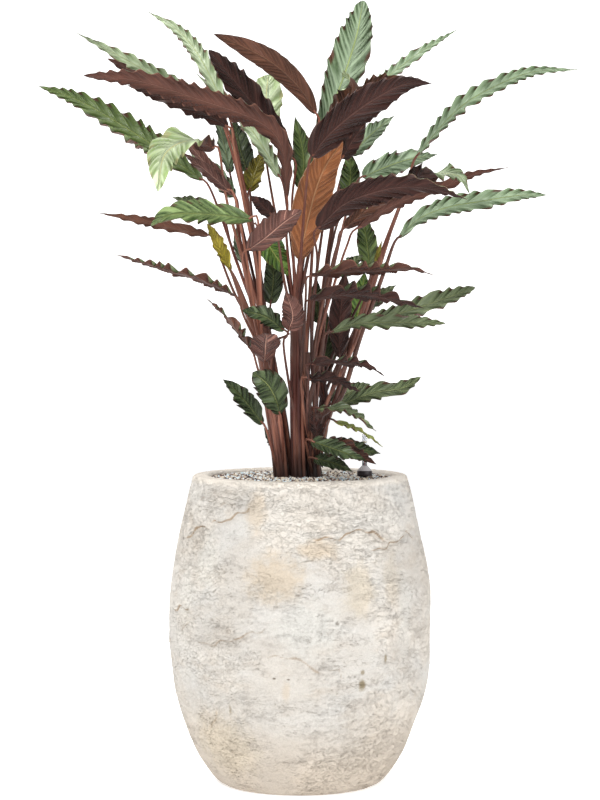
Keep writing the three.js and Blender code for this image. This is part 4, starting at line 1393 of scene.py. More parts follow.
FRONT_TEARS = (
    Tear(((-66, 349), (-59, 364), (-52, 368)), 2.4),
    Tear(((-45, 374), (-40, 377), (-33, 385), (-27, 394)), 2.6),
    Tear(((-61, 404), (-47, 399), (-35, 398), (-26, 393)), 1.2),
    Tear(((9, 356), (18, 357), (24, 363), (31, 369), (38, 361), (41, 355)), 3.0),
    Tear(((37, 340), (48, 345), (61, 357), (67, 351)), 2.4),
    Tear(((-11, 201), (-4, 203), (3, 193), (7, 182)), 1.5),
    Tear(((13, 184), (17, 185), (18, 173)), 1.3),
    Tear(((57, 149), (65, 131)), 1.4),
    Tear(((-48, 96), (-43, 107), (-42, 117)), 1.4),
    Tear(((-48, 213), (-38, 214), (-28, 223), (-17, 236)), 1.5),
    Tear(((-62, 226), (-57, 235)), 1.2),
)


@dataclass(frozen=True)
class FibreClay:
    """Rough cream clay with fibres, pits, cracks and soft patches. Depths are in metres.

    A flake's numbers are turns per metre, depth and place in its noise. A crack's are turns per metre, width,
    place and strength.
    """

    name: str = "rough cream clay"
    cream: Colour = (202, 196, 188)
    pale: Colour = (208, 205, 200)
    warm: Colour = (193, 182, 169)
    # The rim's lighter top, which is painted light.
    rim: Colour = (222, 215, 205)
    # The colour of the painted shade in cracks, pits and under torn lips.
    crack: Colour = (150, 126, 98)
    cracks: tuple[Row, ...] = ((24.0, 0.007, 0.0, 0.5), (52.0, 0.01, 7.0, 0.4), (90.0, 0.012, 3.0, 0.22))
    flakes: tuple[Row, ...] = ((13.0, 0.001, 2.0), (30.0, 0.0006, 5.0))
    wipe_depth: float = 0.0022
    fold_depth: float = 0.001
    grain_depth: float = 0.0016
    crack_depth: float = 0.0014

    def build(self, radius_at: Callable[[float], float]) -> Material:
        """Makes the material.

        Args:
            radius_at: Gives the planter's radius in millimetres at a height.

        Returns:
            The clay material.
        """
        clay = Surface(self.name, Specular_IOR_Level=0.25)
        seam, where = self.seams(clay), self.rough_places(clay)
        drift = clay.noise(clay.stretched(clay.place, (1.0, 1.0, 1.6)), 9.0, 4.0, 0.6, 0.6)
        warmth = clay.noise(clay.stretched(clay.place, (1.0, 1.0, 2.2), (3.1, 0.4, 0.0)), 14.0, 5.0, 0.65)
        height = clay.split(clay.place)[2]
        colour = clay.mix(clay.ease(drift, 0.35, 0.65), linear(self.cream), linear(self.pale))
        colour = clay.mix(clay.ease(warmth, 0.5, 0.78, 0.0, 0.7), colour, linear(self.warm))
        # Painted shade: warmer and darker towards the foot.
        colour = clay.mix(clay.ease(height, 0.15, 0.03, 0.0, 0.85), colour, linear(self.warm))
        # Painted light: the top of the rim is made lighter, as if lit from above.
        colour = clay.mix(clay.ease(height, 0.419, 0.427, 0.0, 0.8), colour, linear(self.rim))
        colour = self.marks(clay, colour, radius_at)
        pits = clay.node("ShaderNodeTexVoronoi", {"Vector": clay.place, "Scale": 150.0}).outputs["Distance"]
        chosen = clay.noise(clay.place, 26.0, 2.0)
        pit = clay.times(clay.ease(pits, 0.16, 0.06), clay.ease(chosen, 0.56, 0.66))
        lip_shadow = clay.ease(clay.attribute("lip_shadow"), 0.25, 0.95, 0.0, 0.8)
        # Painted shade in the cracks, the pits and under the torn lips.
        for share in (seam, clay.times(pit, 0.35), lip_shadow):
            colour = clay.mix(share, colour, linear(self.crack))
        speck = clay.noise(clay.place, 420.0, 3.0, 0.7)
        # Painted light: rough places are lightened against their bump shading, and warmed as if by bounced
        # light.
        shade = clay.times(clay.ease(speck, 0.25, 0.75, 0.9, 1.06), clay.ease(where, 0.0, 1.0, 0.97, 1.1))
        warm = clay.times(shade, clay.ease(where, 0.0, 1.0, 1.0, 1.02))
        cool = clay.times(shade, clay.ease(where, 0.0, 1.0, 1.0, 0.975))
        clay.colour(clay.shaded(colour, warm, shade, cool))
        clay.rough(0.95)
        self.relief(clay, where, clay.math("MAXIMUM", seam, pit))
        return clay.material

    def rough_places(self, clay: Surface) -> Any:
        """Where the clay is torn: less in the middle of the front, which was wiped smooth.

        Args:
            clay: The material's tree.

        Returns:
            A share from 0 to 1.
        """
        x, y, z = clay.split(clay.place)
        middle = clay.times(clay.ease(clay.math("ABSOLUTE", x), 0.13, 0.05), clay.ease(y, 0.0, -0.08))
        level = clay.times(clay.ease(z, 0.34, 0.27), clay.ease(z, 0.03, 0.1))
        chance = clay.ease(clay.noise(clay.place, 9.0, 3.0), 0.36, 0.56, 0.15, 1.0)
        return clay.times(chance, clay.math("MULTIPLY_ADD", clay.times(middle, level), -0.85, 1.0))

    def marks(self, clay: Surface, colour: Any, radius_at: Callable[[float], float]) -> Any:
        """Lays the soft patches over a colour, with ragged edges.

        Args:
            clay: The material's tree.
            colour: The colour below.
            radius_at: Gives the planter's radius in millimetres at a height.

        Returns:
            The colour with its patches.
        """
        ragged = clay.times(clay.math("SUBTRACT", clay.noise(clay.place, 55.0, 4.0, 0.7), 0.5), 1.6)
        for mark in CLAY_MARKS:
            angle = math.radians(mark.angle)
            radius = radius_at(mark.height)
            centre = (radius * math.sin(angle) * MM, -radius * math.cos(angle) * MM, mark.height * MM)
            per_metre = (1 / MM / mark.wide, 1 / MM / mark.wide, 1 / MM / mark.tall)
            away = clay.vector("MULTIPLY", clay.vector("SUBTRACT", clay.place, centre), per_metre)
            edge = clay.math("ADD", clay.vector("LENGTH", away, output="Value"), ragged)
            colour = clay.mix(clay.ease(edge, 1.25, 0.35, 0.0, mark.strength), colour, linear(mark.colour))
        return colour

    def seams(self, clay: Surface) -> Any:
        """Thin wandering cracks, in some places only.

        Args:
            clay: The material's tree.

        Returns:
            How strong a crack is, from 0 to 1.
        """
        lying = clay.stretched(clay.place, (1.0, 1.0, 2.6))
        found: Any = 0.0
        for scale, width, place, strength in self.cracks:
            moved = clay.stretched(lying, (1.0, 1.0, 1.0), (place, 0.0, 0.0))
            level = clay.noise(moved, scale, 5.0, 0.62, 1.4)
            line = clay.math("ABSOLUTE", clay.math("SUBTRACT", level, 0.5))
            part = clay.times(clay.ease(line, width, 0.0, 0.0, strength),
                              clay.ease(clay.noise(moved, 13.0, 3.0), 0.52, 0.62))
            found = clay.math("MAXIMUM", found, part)
        return found

    def relief(self, clay: Surface, where: Any, hollows: Any) -> None:
        """Adds wiped bands, folds, flakes and grain, and sinks the cracks and pits.

        Args:
            clay: The material's tree.
            where: Where the clay is torn.
            hollows: Where cracks and pits are.
        """
        wipe = clay.noise(clay.stretched(clay.place, (1.0, 1.0, 2.4)), 30.0, 6.0, 0.66, 1.6)
        clay.bump(wipe, self.wipe_depth)
        folds = clay.node("ShaderNodeTexNoise", {
            "Vector": clay.stretched(clay.place, (1.0, 1.0, 1.7)), "Scale": 24.0, "Detail": 7.0,
            "Roughness": 0.62, "Distortion": 1.0,
        }, noise_type="RIDGED_MULTIFRACTAL").outputs[0]
        clay.bump(clay.times(folds, where), self.fold_depth)
        for scale, depth, place in self.flakes:
            moved = clay.stretched(clay.place, (1.0, 1.0, 1.9), (place, 0, 0))
            level = clay.noise(moved, scale, 6.0, 0.66, 1.5)
            layers = clay.math("ADD", clay.ease(level, 0.44, 0.455), clay.ease(level, 0.52, 0.535))
            clay.bump(clay.times(layers, where), depth)
        clay.bump(clay.noise(clay.place, 170.0, 5.0, 0.7), self.grain_depth)
        clay.bump(clay.math("SUBTRACT", 1.0, hollows), self.crack_depth)


@dataclass(frozen=True)
class TearShape:
    """How the clay is pushed out and in along a torn edge, in millimetres."""

    radius: float = 170.0
    end_fade: float = 8.0
    reach: float = 26.0
    lip_start: float = -1.2
    lip_end: float = 1.6
    lip_fade: float = 11.0
    hollow_depth: float = 0.6
    hollow_below: float = 2.2
    hollow_width: float = 2.4
    # Where and how wide the painted shadow under the lip lies.
    lip_shadow_below: float = 1.2
    lip_shadow_width: float = 1.7

    def beside(self, tear: Tear, degrees: Array, height: Array,
               wander: Array) -> tuple[Array, Array]:
        """Measures places against a tear's line.

        Args:
            tear: The tear.
            degrees: The angle of each place.
            height: The height of each place.
            wander: How much the line wanders up or down there.

        Returns:
            How far each place is from the line, and how far above it.
        """
        turned = (degrees - tear.line[0][0] + 180) % 360 - 180 + tear.line[0][0]
        across = np.radians(turned) * self.radius
        line = [(math.radians(angle) * self.radius, level) for angle, level in tear.line]
        near = np.full(degrees.shape, np.inf)
        above = np.zeros(degrees.shape)
        for (x0, z0), (x1, z1) in zip(line, line[1:]):
            wide, tall = x1 - x0, z1 - z0
            length = wide**2 + tall**2
            share = np.clip(((across - x0) * wide + (height - z0) * tall) / length, 0, 1)
            far = np.hypot(across - x0 - share * wide, height - z0 - share * tall)
            side = (height + wander - z0) * wide - (across - x0) * tall
            closer = far < near
            near = np.where(closer, far, near)
            above = np.where(closer, side / math.sqrt(length), above)
        return near, above


@dataclass
class Planter:
    """The round planter with its rolled clay outside, in millimetres. Rings are radius, height, roughness."""

    height: float = 430.0
    outline: tuple[tuple[float, float], ...] = (
        (104, 0), (118, 7), (137, 33), (151.5, 61), (171, 116), (180.5, 172), (182, 215),
        (179, 283), (169.6, 339), (157.8, 394), (150, 424))
    foot_rings: tuple[Point, ...] = ((60.0, 0.0, 0.0), (100.0, 0.0, 0.0), (108.0, 0.6, 0.2))
    inner_levels: tuple[float, ...] = (415.0, 402.0, 350.0, 270.0, 200.0, 150.0, 90.0, 45.0)
    rim_rounding: float = 6.0
    wall: float = 24.0
    floor: float = 25.0
    floor_middle: float = 60.0
    corner_inset: float = 14.0
    relief: float = 1.6
    front_reach: float = 100.0
    front_sides: int = 250
    back_sides: int = 110
    row_start: float = 4.0
    row_step: float = 2.0
    chance_tears: int = 16
    tear_seed: int = 4
    lump_height: float = 2.4
    wipe_height: float = 1.5
    fold_depth: float = 2.2
    grain_height: float = 0.9
    clay: FibreClay = FibreClay()
    tear_shape: TearShape = TearShape()
    line: Array = field(init=False)

    def __post_init__(self) -> None:
        """Draws the outline."""
        self.line = catmull_rom(np.array(self.outline, float))

    def radius(self, height: Any) -> Any:
        """The outer radius at a height."""
        return np.interp(height, self.line[:, 1], self.line[:, 0])

    def rolled(self, angle: Array, height: Array) -> Array:
        """The large bands and patches that the solid has too.

        Args:
            angle: The angle of each place.
            height: The height of each place.

        Returns:
            How far each place stands out.
        """
        bands = np.sin(height / 23 + 2.2 * np.sin(angle + height / 140))
        patches = np.sin(3 * angle + height / 60) * np.sin(5 * angle - height / 37)
        fade = np.sin(np.pi * np.clip(height / self.height, 0, 1))
        return self.relief * fade * (0.6 * bands + 0.7 * patches)

    def rounding(self, centre: float, side: int, rough: float) -> list[Point]:
        """One rounded edge of the rim.

        Args:
            centre: The radius that it turns about.
            side: 1 on the outside, where it climbs, or -1 on the inside, where it falls.
            rough: How rough it is.

        Returns:
            Its rings.
        """
        r, shoulder = self.rim_rounding, self.height - self.rim_rounding
        bends = [math.radians(turn) for turn in np.linspace(0, 90, 5)[::side]]
        return [(centre + side * r * math.cos(bend), shoulder + r * math.sin(bend), rough) for bend in bends]

    def profile(self) -> list[Point]:
        """The rings, from the foot over the rim to the inner floor.

        Returns:
            Radius, height and roughness of each ring.
        """
        shoulder = self.height - self.rim_rounding
        levels = np.arange(self.row_start, shoulder - 1, self.row_step)
        middle, inner = (float(self.radius(shoulder)) - inset for inset in (self.rim_rounding, self.wall))
        inner_edge = inner + self.rim_rounding
        rows = [*self.foot_rings, *[(float(self.radius(z)), float(z), 1.0) for z in levels]]
        rows += self.rounding(middle, 1, 0.45)
        rows += [(middle + (inner_edge - middle) * share, self.height, 0.35) for share in (0.25, 0.5, 0.75)]
        rows += self.rounding(inner_edge, -1, 0.3)
        rows += [(float(self.radius(z)) - self.wall, z, 0.0) for z in self.inner_levels]
        rows.append((rows[-1][0] - self.corner_inset, self.floor, 0.0))
        return [*rows, (self.floor_middle, self.floor, 0.0)]

    def tears(self) -> list[Tear]:
        """The torn edges seen from the front, and chance ones round the sides and back.

        Returns:
            The tears.
        """
        chance = np.random.default_rng(self.tear_seed)
        found = list(FRONT_TEARS)
        for _ in range(self.chance_tears):
            angle, height = chance.uniform(75, 285), chance.uniform(90, 400)
            steps = np.cumsum(chance.uniform(5, 9, 4))
            climb = np.cumsum(chance.uniform(-9, 9, 4))
            line = tuple((angle + a, height + h) for a, h in zip(steps, climb))
            found.append(Tear(line, chance.uniform(1.0, 2.4)))
        return found

    def torn(self, angle: Array, height: Array) -> tuple[Array, Array]:
        """What the torn edges do to the clay.

        Args:
            angle: The angle of each place.
            height: The height of each place.

        Returns:
            How far they move each place outwards, and how dark the painted shadow under their lips is.
        """
        push = np.zeros_like(angle)
        lip_shadow = np.zeros_like(angle)
        degrees = np.degrees(angle)
        wander = 2.2 * np.sin(height / 7 + degrees / 2.6) + 1.4 * np.sin(degrees / 1.3 + height / 11)
        shape = self.tear_shape
        for tear in self.tears():
            near, above = shape.beside(tear, degrees, height, wander)
            past_end = np.maximum(near - np.abs(above), 0)
            inside = np.exp(-((past_end / shape.end_fade) ** 2)) * np.exp(-((near / shape.reach) ** 2))
            lip = smooth_step(shape.lip_start, shape.lip_end, above)
            lip = lip * np.exp(-np.clip(above, 0, None) / shape.lip_fade)
            hollow = np.exp(-(((above + shape.hollow_below) / shape.hollow_width) ** 2))
            push += tear.lip * inside * (lip - shape.hollow_depth * hollow)
            # Painted shadow: a dark band just under each torn lip.
            dark = np.exp(-(((above + shape.lip_shadow_below) / shape.lip_shadow_width) ** 2))
            lip_shadow = np.maximum(lip_shadow, inside * dark * min(tear.lip / 2, 1))
        return push, lip_shadow

    def blank(self) -> Object:
        """The closed planter before its clay is roughened.

        Returns:
            An object with its roughness and the painted shadow under its torn lips kept on its points.
        """
        front = np.linspace(-self.front_reach, self.front_reach, self.front_sides, endpoint=False)
        back = np.linspace(self.front_reach, 360 - self.front_reach, self.back_sides, endpoint=False)
        angles = np.radians(np.concatenate([front, back]))
        rows = np.array(self.profile())
        angle, height = np.meshgrid(angles, rows[:, 1])
        rough = np.repeat(rows[:, 2:], len(angles), axis=1)
        push, lip_shadow = self.torn(angle, height)
        wall = (rough > 0.9).astype(float)
        turned = np.arctan2(-np.cos(angle), np.sin(angle))
        radius = np.repeat(rows[:, :1], len(angles), axis=1) + wall * (self.rolled(turned, height) + push)
        places = np.stack([radius * np.sin(angle), -radius * np.cos(angle), height], axis=-1).reshape(-1, 3)
        points = np.concatenate([places, np.array([[0, 0, 0], [0, 0, self.floor]])])
        sides, rings = len(angles), len(rows)
        grid = np.arange(sides * rings).reshape(rings, sides)
        beside = np.roll(grid, -1, axis=1)
        low, high = sides * rings, sides * rings + 1
        faces = np.stack([grid[:-1], beside[:-1], beside[1:], grid[1:]], axis=-1).reshape(-1, 4).tolist()
        faces += [[low, int(b), int(a)] for a, b in zip(grid[0], beside[0])]
        faces += [[high, int(a), int(b)] for a, b in zip(grid[-1], beside[-1])]
        finish = self.clay.build(lambda level: float(self.radius(level)))
        mesh = mesh_of("planter", points, faces, [finish])
        for name, values in (("rough", rough), ("lip_shadow", lip_shadow * wall)):
            kept = mesh.attributes.new(name, "FLOAT", "POINT")
            kept.data.foreach_set("value", np.concatenate([values.ravel(), [0, 0]]))
        return linked("planter blank", mesh)

    def recipe(self, finish: Material) -> Recipe:
        """Makes the geometry tree that roughens the clay.

        Args:
            finish: The material that the tree sets.

        Returns:
            The tree.
        """
        tree = Recipe("rolled clay", {
            "Lump Height": ("NodeSocketFloat", self.lump_height * MM),
            "Wipe Height": ("NodeSocketFloat", self.wipe_height * MM),
            "Fold Depth": ("NodeSocketFloat", self.fold_depth * MM),
            "Grain Height": ("NodeSocketFloat", self.grain_height * MM),
            "Finish": ("NodeSocketMaterial", finish),
        })
        given = tree.given
        place = tree.field("GeometryNodeInputPosition")

        def centred(value: Any) -> Any:
            """A share moved to lie about 0."""
            return tree.math("SUBTRACT", value, 0.5)

        flat = tree.vector("MULTIPLY", place, (1.0, 1.0, 3.2))
        lumps = centred(tree.noise(place, 16.0, 3.0, 0.5, 0.4))
        wipes = centred(tree.noise(flat, 34.0, 4.0, 0.6, 1.6))
        folds = tree.ease(tree.math("ABSOLUTE", centred(tree.noise(flat, 20.0, 4.0, 0.55, 2.2))), 0.045, 0.0)
        folds = tree.times(folds, tree.ease(tree.noise(place, 8.0, 2.0), 0.46, 0.6))
        grains = centred(tree.noise(place, 120.0, 4.0, 0.7))
        height = tree.times(lumps, given["Lump Height"])
        height = tree.math("ADD", height, tree.times(wipes, given["Wipe Height"]))
        height = tree.math("SUBTRACT", height, tree.times(folds, given["Fold Depth"]))
        height = tree.math("ADD", height, tree.times(grains, given["Grain Height"]))
        push = tree.scaled(tree.field("GeometryNodeInputNormal"), tree.times(height, tree.stored("rough")))
        moved = tree.node("GeometryNodeSetPosition", {"Geometry": given["Geometry"], "Offset": push})
        tree.finish(moved.outputs[0])
        return tree

    def build(self) -> None:
        """Makes the planter and fixes it in place of its solid."""
        blank = self.blank()
        piece = self.recipe(blank.data.materials[0]).apply(blank, "planter")
        settle(piece, "pot", "pot")


# Filling


@dataclass(frozen=True)
class GrainSkin:
    """Mixed grains: blue-white, cream, grey and dark brown ones."""

    name: str = "mixed grains"
    kinds: tuple[tuple[float, Colour], ...] = (
        (0.0, (66, 50, 50)), (0.16, (112, 92, 86)), (0.3, (178, 160, 140)), (0.44, (216, 202, 180)),
        (0.62, (232, 226, 214)), (0.76, (206, 224, 230)), (0.9, (236, 242, 244)),
    )

    def build(self) -> Material:
        """Makes the material.

        Returns:
            The grain material.
        """
        skin = Surface(self.name)
        ramp = skin.node("ShaderNodeValToRGB", {0: skin.attribute("grain")})
        stops = ramp.color_ramp
        stops.interpolation = "CONSTANT"
        for position, colour in self.kinds:
            stop = stops.elements[0] if position == 0.0 else stops.elements.new(position)
            stop.color = linear(colour)
        stops.elements.remove(stops.elements[-1])
        dust = skin.noise(skin.place, 900.0, 3.0, 0.6)
        skin.colour(skin.shaded(ramp.outputs[0], skin.ease(dust, 0.25, 0.75, 0.8, 1.1)))
        skin.rough(0.8)
        skin.bump(dust, 0.0004)
        return skin.material


@dataclass(frozen=True)
class SoilSkin:
    """Dark crumbly ground under and between the grains."""

    name: str
    dark: Colour
    light: Colour

    def build(self) -> Material:
        """Makes the material.

        Returns:
            The ground material.
        """
        skin = Surface(self.name)
        crumb = skin.noise(skin.place, 260.0, 5.0, 0.7)
        skin.colour(skin.mix(skin.ease(crumb, 0.35, 0.65), linear(self.dark), linear(self.light)))
        skin.rough(0.95)
        skin.bump(crumb, 0.0015)
        return skin.material


@dataclass
class TopDressing:
    """The grains strewn over the potting mix, in millimetres."""

    level: float = 426.4
    rim: float = 125.4
    dome: float = 2.0
    rings: int = 12
    sides: int = 48
    least_gap: float = 3.7
    density: float = 150000.0
    grain_size: float = 4.6
    lump: float = 1.7
    seed: int = 11
    kind_seed: int = 23
    grains: GrainSkin = GrainSkin()
    ground: SoilSkin = SoilSkin("grain bed", (58, 44, 42), (150, 134, 120))
    mix: SoilSkin = SoilSkin("potting mix", (34, 24, 19), (74, 56, 44))

    def bed(self) -> Object:
        """The slightly domed round that the grains are strewn on.

        Returns:
            The round.
        """
        points, faces = [[0.0, 0.0, self.level]], []
        rings, sides = self.rings, self.sides
        for ring in range(1, rings + 1):
            radius = self.rim * ring / rings
            height = self.level - self.dome * (ring / rings) ** 2
            for k in range(sides):
                angle = 2 * math.pi * k / sides
                points.append([radius * math.cos(angle), radius * math.sin(angle), height])
        for k in range(sides):
            beside = (k + 1) % sides
            faces.append([0, 1 + k, 1 + beside])
            for ring in range(rings - 1):
                low, high = 1 + ring * sides, 1 + (ring + 1) * sides
                faces.append([low + k, high + k, high + beside, low + beside])
        return linked("bed", mesh_of("bed", np.array(points), faces, []))

    def recipe(self) -> Recipe:
        """Makes the geometry tree that strews lumpy grains on a surface.

        Returns:
            The tree.
        """
        tree = Recipe("strewn grains", {
            "Least Gap": ("NodeSocketFloat", self.least_gap * MM),
            "Density": ("NodeSocketFloat", self.density),
            "Grain Size": ("NodeSocketFloat", self.grain_size * MM),
            "Lump": ("NodeSocketFloat", self.lump * MM),
            "Seed": ("NodeSocketInt", self.seed),
            "Finish": ("NodeSocketMaterial", self.grains.build()),
        })
        given = tree.given
        spread = tree.node("GeometryNodeDistributePointsOnFaces", {
            "Mesh": given["Geometry"], "Distance Min": given["Least Gap"], "Density Max": given["Density"],
            "Seed": given["Seed"]}, distribute_method="POISSON")
        block = tree.node("GeometryNodeMeshCube", {
            "Size": (1.0, 1.0, 1.0), "Vertices X": 3, "Vertices Y": 3, "Vertices Z": 3}).outputs[0]
        corner = tree.field("GeometryNodeInputPosition")
        ball = tree.node("GeometryNodeSetPosition", {
            "Geometry": block, "Position": tree.scaled(tree.vector("NORMALIZE", corner), 0.5)})
        turn = tree.node("FunctionNodeRandomValue", {
            0: (0.0, 0.0, 0.0), 1: (6.28, 6.28, 6.28), "Seed": given["Seed"]}, data_type="FLOAT_VECTOR")
        size = tree.node("FunctionNodeRandomValue", {
            0: (0.62, 0.62, 0.5), 1: (1.25, 1.1, 0.85), "Seed": given["Seed"]}, data_type="FLOAT_VECTOR")
        strewn = tree.node("GeometryNodeInstanceOnPoints", {
            "Points": spread.outputs["Points"], "Instance": ball.outputs[0], "Rotation": turn.outputs[0],
            "Scale": tree.scaled(size.outputs[0], given["Grain Size"])})
        kind = tree.node("FunctionNodeRandomValue", {"Seed": self.kind_seed}, data_type="FLOAT")
        strewn = tree.store(strewn.outputs[0], "grain", kind.outputs[1], "INSTANCE")
        real = tree.node("GeometryNodeRealizeInstances", {"Geometry": strewn}).outputs[0]
        wobble = tree.node("ShaderNodeTexNoise", {"Vector": corner, "Scale": 230.0, "Detail": 1.0})
        lump = tree.vector("SUBTRACT", wobble.outputs["Color"], (0.5, 0.5, 0.5))
        shaped = tree.node("GeometryNodeSetPosition", {
            "Geometry": real, "Offset": tree.scaled(lump, given["Lump"])})
        tree.finish(shaped.outputs[0])
        return tree

    def build(self) -> None:
        """Strews the grains and fixes them on the solid, which stays below them."""
        settle(self.recipe().apply(self.bed(), "grains"), "granules")
        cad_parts["granules"].data.materials[0] = self.ground.build()
        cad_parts["potting_mix"].data.materials[0] = self.mix.build()


# Water gauge


@dataclass(frozen=True)
class Plastic:
    """A smooth plastic."""

    name: str
    colour: Colour
    roughness: float
    clear: float = 0.0
    worn_lighter: int = 14
    scuffed_rougher: float = 0.12

    def build(self) -> Material:
        """Makes the material, with faint scuffs in its gloss.

        Returns:
            The plastic material.
        """
        skin = Surface(self.name, Transmission_Weight=self.clear, IOR=1.46)
        scuff = skin.noise(skin.place, 300.0, 4.0)
        worn = skin.noise(skin.place, 120.0, 2.0)
        lighter = tuple(min(255, part + self.worn_lighter) for part in self.colour)
        skin.colour(skin.mix(skin.ease(worn, 0.4, 0.8), linear(self.colour), linear(lighter)))
        skin.rough(skin.ease(scuff, 0.3, 0.7, self.roughness, self.roughness + self.scuffed_rougher))
        return skin.material


@dataclass
class WaterGauge:
    """The water gauge: a clear tube with a float on a cone and a black collar with its shaft.

    Sizes are in millimetres, and outlines are radius and height pairs from the foot up.
    """

    place: tuple[float, float] = (90.0, 0.0)
    sides: int = 40
    clearance: float = 0.3
    tube_radius: float = 3.5
    tube_wall: float = 0.8
    tube_cap: float = 3.0
    tube_top: float = 487.0
    cone_foot: float = 435.0
    cone_top: float = 442.0
    collar_radius: float = 10.5
    collar_foot: float = 428.0
    shaft_radius: float = 5.0
    shaft_foot: float = 60.0
    float_length: float = 24.0
    pin_foot: float = 4.0
    mark_height: float = 475.0
    clear: Plastic = Plastic("clear tube", (216, 218, 222), 0.08, 0.84)
    smoky: Plastic = Plastic("smoky cone", (206, 202, 204), 0.12, 0.2)
    black: Plastic = Plastic("black collar", (44, 36, 40), 0.35)
    red: Plastic = Plastic("red float", (190, 38, 28), 0.35)
    yellow: Plastic = Plastic("yellow mark", (226, 186, 40), 0.4)

    def tube(self) -> list[tuple[float, float]]:
        """The outline of the clear tube, open below and closed by its cap.

        Returns:
            Radius and height pairs.
        """
        r, top, foot = self.tube_radius, self.tube_top, self.cone_top + self.clearance
        bore, cap = r - self.tube_wall, top - self.tube_cap
        return [(0, cap), (bore * 0.9, cap), (bore, cap - 0.6), (bore, foot + 0.1), (bore + 0.1, foot),
                (r - 0.1, foot), (r, foot + 0.1), (r, top - 2), (r - 0.5, top - 0.8), (r - 1.4, top - 0.1),
                (r - 2, top), (0, top)]

    def cone(self) -> list[tuple[float, float]]:
        """The outline of the smoky cone."""
        r, c, foot, top = self.tube_radius, self.collar_radius, self.cone_foot, self.cone_top
        return [(0, foot), (c - 0.6, foot), (c - 0.4, foot + 0.3), (c - 0.9, foot + 1.0),
                (c - 2.6, foot + 3.0), (r + 1.5, top - 0.9), (r + 0.8, top - 0.2), (r + 0.6, top), (0, top)]

    def collar(self) -> list[tuple[float, float]]:
        """The outline of the black collar and its shaft.

        Returns:
            Radius and height pairs.
        """
        s, c, foot, low = self.shaft_radius, self.collar_radius, self.collar_foot, self.shaft_foot
        top = self.cone_foot - self.clearance
        return [(0, low), (s - 0.5, low), (s, low + 0.5), (s, foot), (c - 1, foot), (c - 0.3, foot + 0.3),
                (c, foot + 1), (c, top - 1), (c - 0.3, top - 0.3), (c - 1, top), (0, top)]

    def float_outline(self) -> list[tuple[float, float]]:
        """The outline of the float and its thin pin.

        Returns:
            Radius and height pairs.
        """
        foot = self.cone_top + self.clearance
        pin, top = foot + self.pin_foot, foot + self.float_length
        return [(0, foot), (1.4, foot), (1.6, foot + 0.3), (1.6, pin - 0.3), (1.3, pin), (0.6, pin + 1),
                (0.6, top - 0.4), (0.3, top), (0, top)]

    def mark(self) -> list[tuple[float, float]]:
        """The outline of the yellow mark in the tube.

        Returns:
            Radius and height pairs.
        """
        bore, mark = self.tube_radius - self.tube_wall, self.mark_height
        half = [(0, 0.9), (bore - 0.35, 0.9), (bore - 0.2, 0.7)]
        return [*[(r, mark - z) for r, z in half], *[(r, mark + z) for r, z in half[::-1]]]

    def turned(self, name: str, profile: Sequence[Sequence[float]], plastic: Plastic) -> Object:
        """Turns one piece at the gauge's place.

        Args:
            name: The piece's name.
            profile: Its outline.
            plastic: Its finish.

        Returns:
            The piece.
        """
        points, faces = lathe(profile, self.sides)
        points += np.array([*self.place, 0.0])
        return linked(name, mesh_of(name, points, faces, [plastic.build()]))

    def build(self) -> None:
        """Makes the pieces and fixes each in place of its solid."""
        settle(self.turned("gauge_tube_clear", self.tube(), self.clear), "clear", "gauge_tube")
        settle(self.turned("gauge_cone_grey", self.cone(), self.smoky), "cone", "gauge_cone")
        settle(self.turned("gauge_collar_black", self.collar(), self.black), "collar", "gauge_collar")
        settle(self.turned("gauge_float_red", self.float_outline(), self.red), "float", "gauge_float")
        settle(self.turned("gauge_mark_yellow", self.mark(), self.yellow), "float")


# Studio


@dataclass(frozen=True)
class Lamp:
    """One square soft light: its place and what it shines on in metres, its side and its power in watts."""

    name: str
    place: Point
    aim: Point
    size: float
    power: float

    def hang(self) -> None:
        """Hangs the light and turns it to its aim."""
        data = bpy.data.lights.new(self.name, "AREA")
        data.size = self.size
        data.energy = self.power
        lamp = linked(self.name, data)
        way = np.array(self.aim) - np.array(self.place)
        flat = math.hypot(way[0], way[1])
        lamp.location = self.place
        lamp.rotation_euler = (math.atan2(flat, -way[2]), 0, math.atan2(-way[0], way[1]))


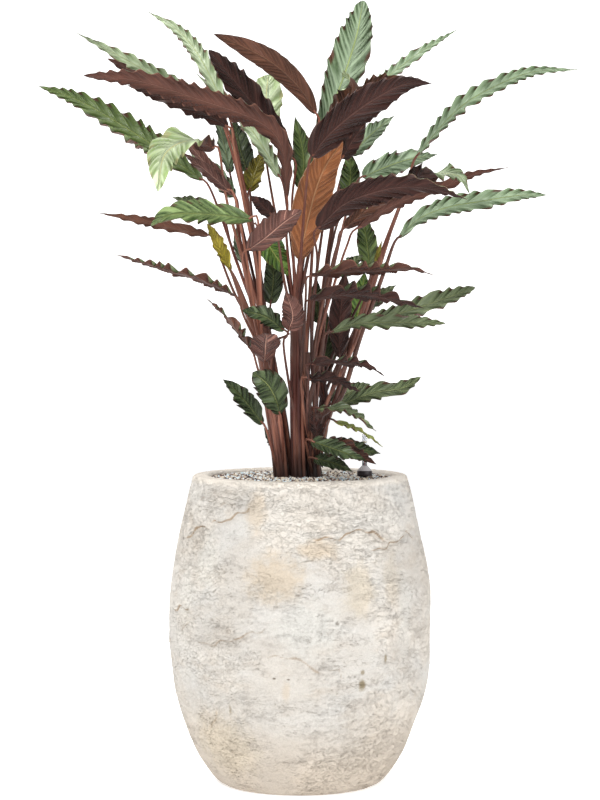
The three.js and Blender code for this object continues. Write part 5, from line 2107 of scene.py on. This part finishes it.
@dataclass
class Studio:
    """A plain pale floor, a white surround, soft light and the camera.

    The surround's sizes are in millimetres, the eye's in metres and degrees.
    """

    surround_radius: float = 14000.0
    surround_foot: float = -500.0
    surround_sides: int = 64
    sky_light: float = 0.55
    floor_light: float = 0.52
    white: Row = (1.0, 1.0, 1.0, 1.0)
    floor_colour: Colour = (248, 248, 247)
    cloud_colour: Colour = (245, 245, 244)
    eye_distance: float = 3.5
    eye_height: float = 0.69
    look_down: float = 2.56
    focal_length: float = 113.3
    sight_end: float = 60.0
    lamps: tuple[Lamp, ...] = (
        Lamp("key", (-1.5, -2.6, 2.9), (0, 0, 0.8), 1.3, 76.0),
        Lamp("fill", (2.2, -2.4, 1.3), (0, 0, 0.6), 2.2, 46.0),
        Lamp("top", (-0.6, 0.8, 2.8), (0, 0, 0.8), 1.6, 42.0),
    )

    def floor(self) -> None:
        """Lays the floor."""
        half = self.surround_radius
        points = [[-half, -half, 0.0], [half, -half, 0.0], [half, half, 0.0], [-half, half, 0.0]]
        finish = Surface("studio floor", Emission_Color=self.white, Emission_Strength=self.floor_light)
        cloud = finish.noise(finish.place, 3.0, 2.0)
        finish.colour(finish.mix(cloud, linear(self.floor_colour), linear(self.cloud_colour)))
        finish.rough(0.9)
        finish.material.cycles.emission_sampling = "NONE"
        linked("floor", mesh_of("floor", np.array(points), [[0, 1, 2, 3]], [finish.material]))

    def surround(self) -> None:
        """Closes the studio with a round white wall and roof, which are white to the eye and light softly."""
        reach, foot = self.surround_radius, self.surround_foot
        profile = [(0.0, foot), (reach, foot), (reach, 0.5 * reach)]
        profile += [(reach * math.cos(math.radians(turn)), reach * (0.5 + 0.5 * math.sin(math.radians(turn))))
                    for turn in range(15, 90, 15)]
        profile.append((0.0, reach))
        points, faces = lathe(profile, self.surround_sides)
        finish = Surface("studio surround", Emission_Color=self.white, Emission_Strength=1.0)
        finish.colour(linear(self.floor_colour))
        finish.rough(1.0)
        lit = finish.node("ShaderNodeEmission", {"Color": self.white, "Strength": self.sky_light})
        path = finish.node("ShaderNodeLightPath").outputs
        ray = finish.math("MAXIMUM", path["Is Camera Ray"], path["Is Transmission Ray"])
        both = finish.node("ShaderNodeMixShader", {0: ray, 1: lit.outputs[0], 2: finish.shader.outputs[0]})
        finish.put(finish.tree.nodes["Material Output"].inputs["Surface"], both.outputs[0])
        finish.material.cycles.emission_sampling = "NONE"
        linked("surround", mesh_of("surround", points, faces, [finish.material]))

    def sky(self) -> None:
        """Sets a plain white world."""
        world = bpy.data.worlds.new("studio")
        world.use_nodes = True
        sky = world.node_tree.nodes["Background"]
        sky.inputs["Color"].default_value = self.white
        sky.inputs["Strength"].default_value = self.sky_light
        bpy.context.scene.world = world
        bpy.context.scene.view_settings.view_transform = "Standard"

    def camera(self) -> None:
        """Sets the camera where the eye is."""
        data = bpy.data.cameras.new("camera")
        data.lens = self.focal_length
        data.clip_end = self.sight_end
        camera = linked("camera", data)
        camera.location = (0, -self.eye_distance, self.eye_height)
        camera.rotation_euler = (math.radians(90 - self.look_down), 0, 0)
        bpy.context.scene.camera = camera

    def build(self) -> None:
        """Sets up floor, surround, lights, world and camera."""
        self.floor()
        self.surround()
        for lamp in self.lamps:
            lamp.hang()
        self.sky()
        self.camera()


def main() -> None:
    """Builds every sub-assembly in order."""
    logging.basicConfig(level=logging.INFO, format="%(name)s: %(message)s")
    for part in (Studio(), Planter(), TopDressing(), WaterGauge(), Shoots(), Foliage()):
        part.build()
        log.info("%s done", type(part).__name__)


if __name__ == "__main__":
    main()
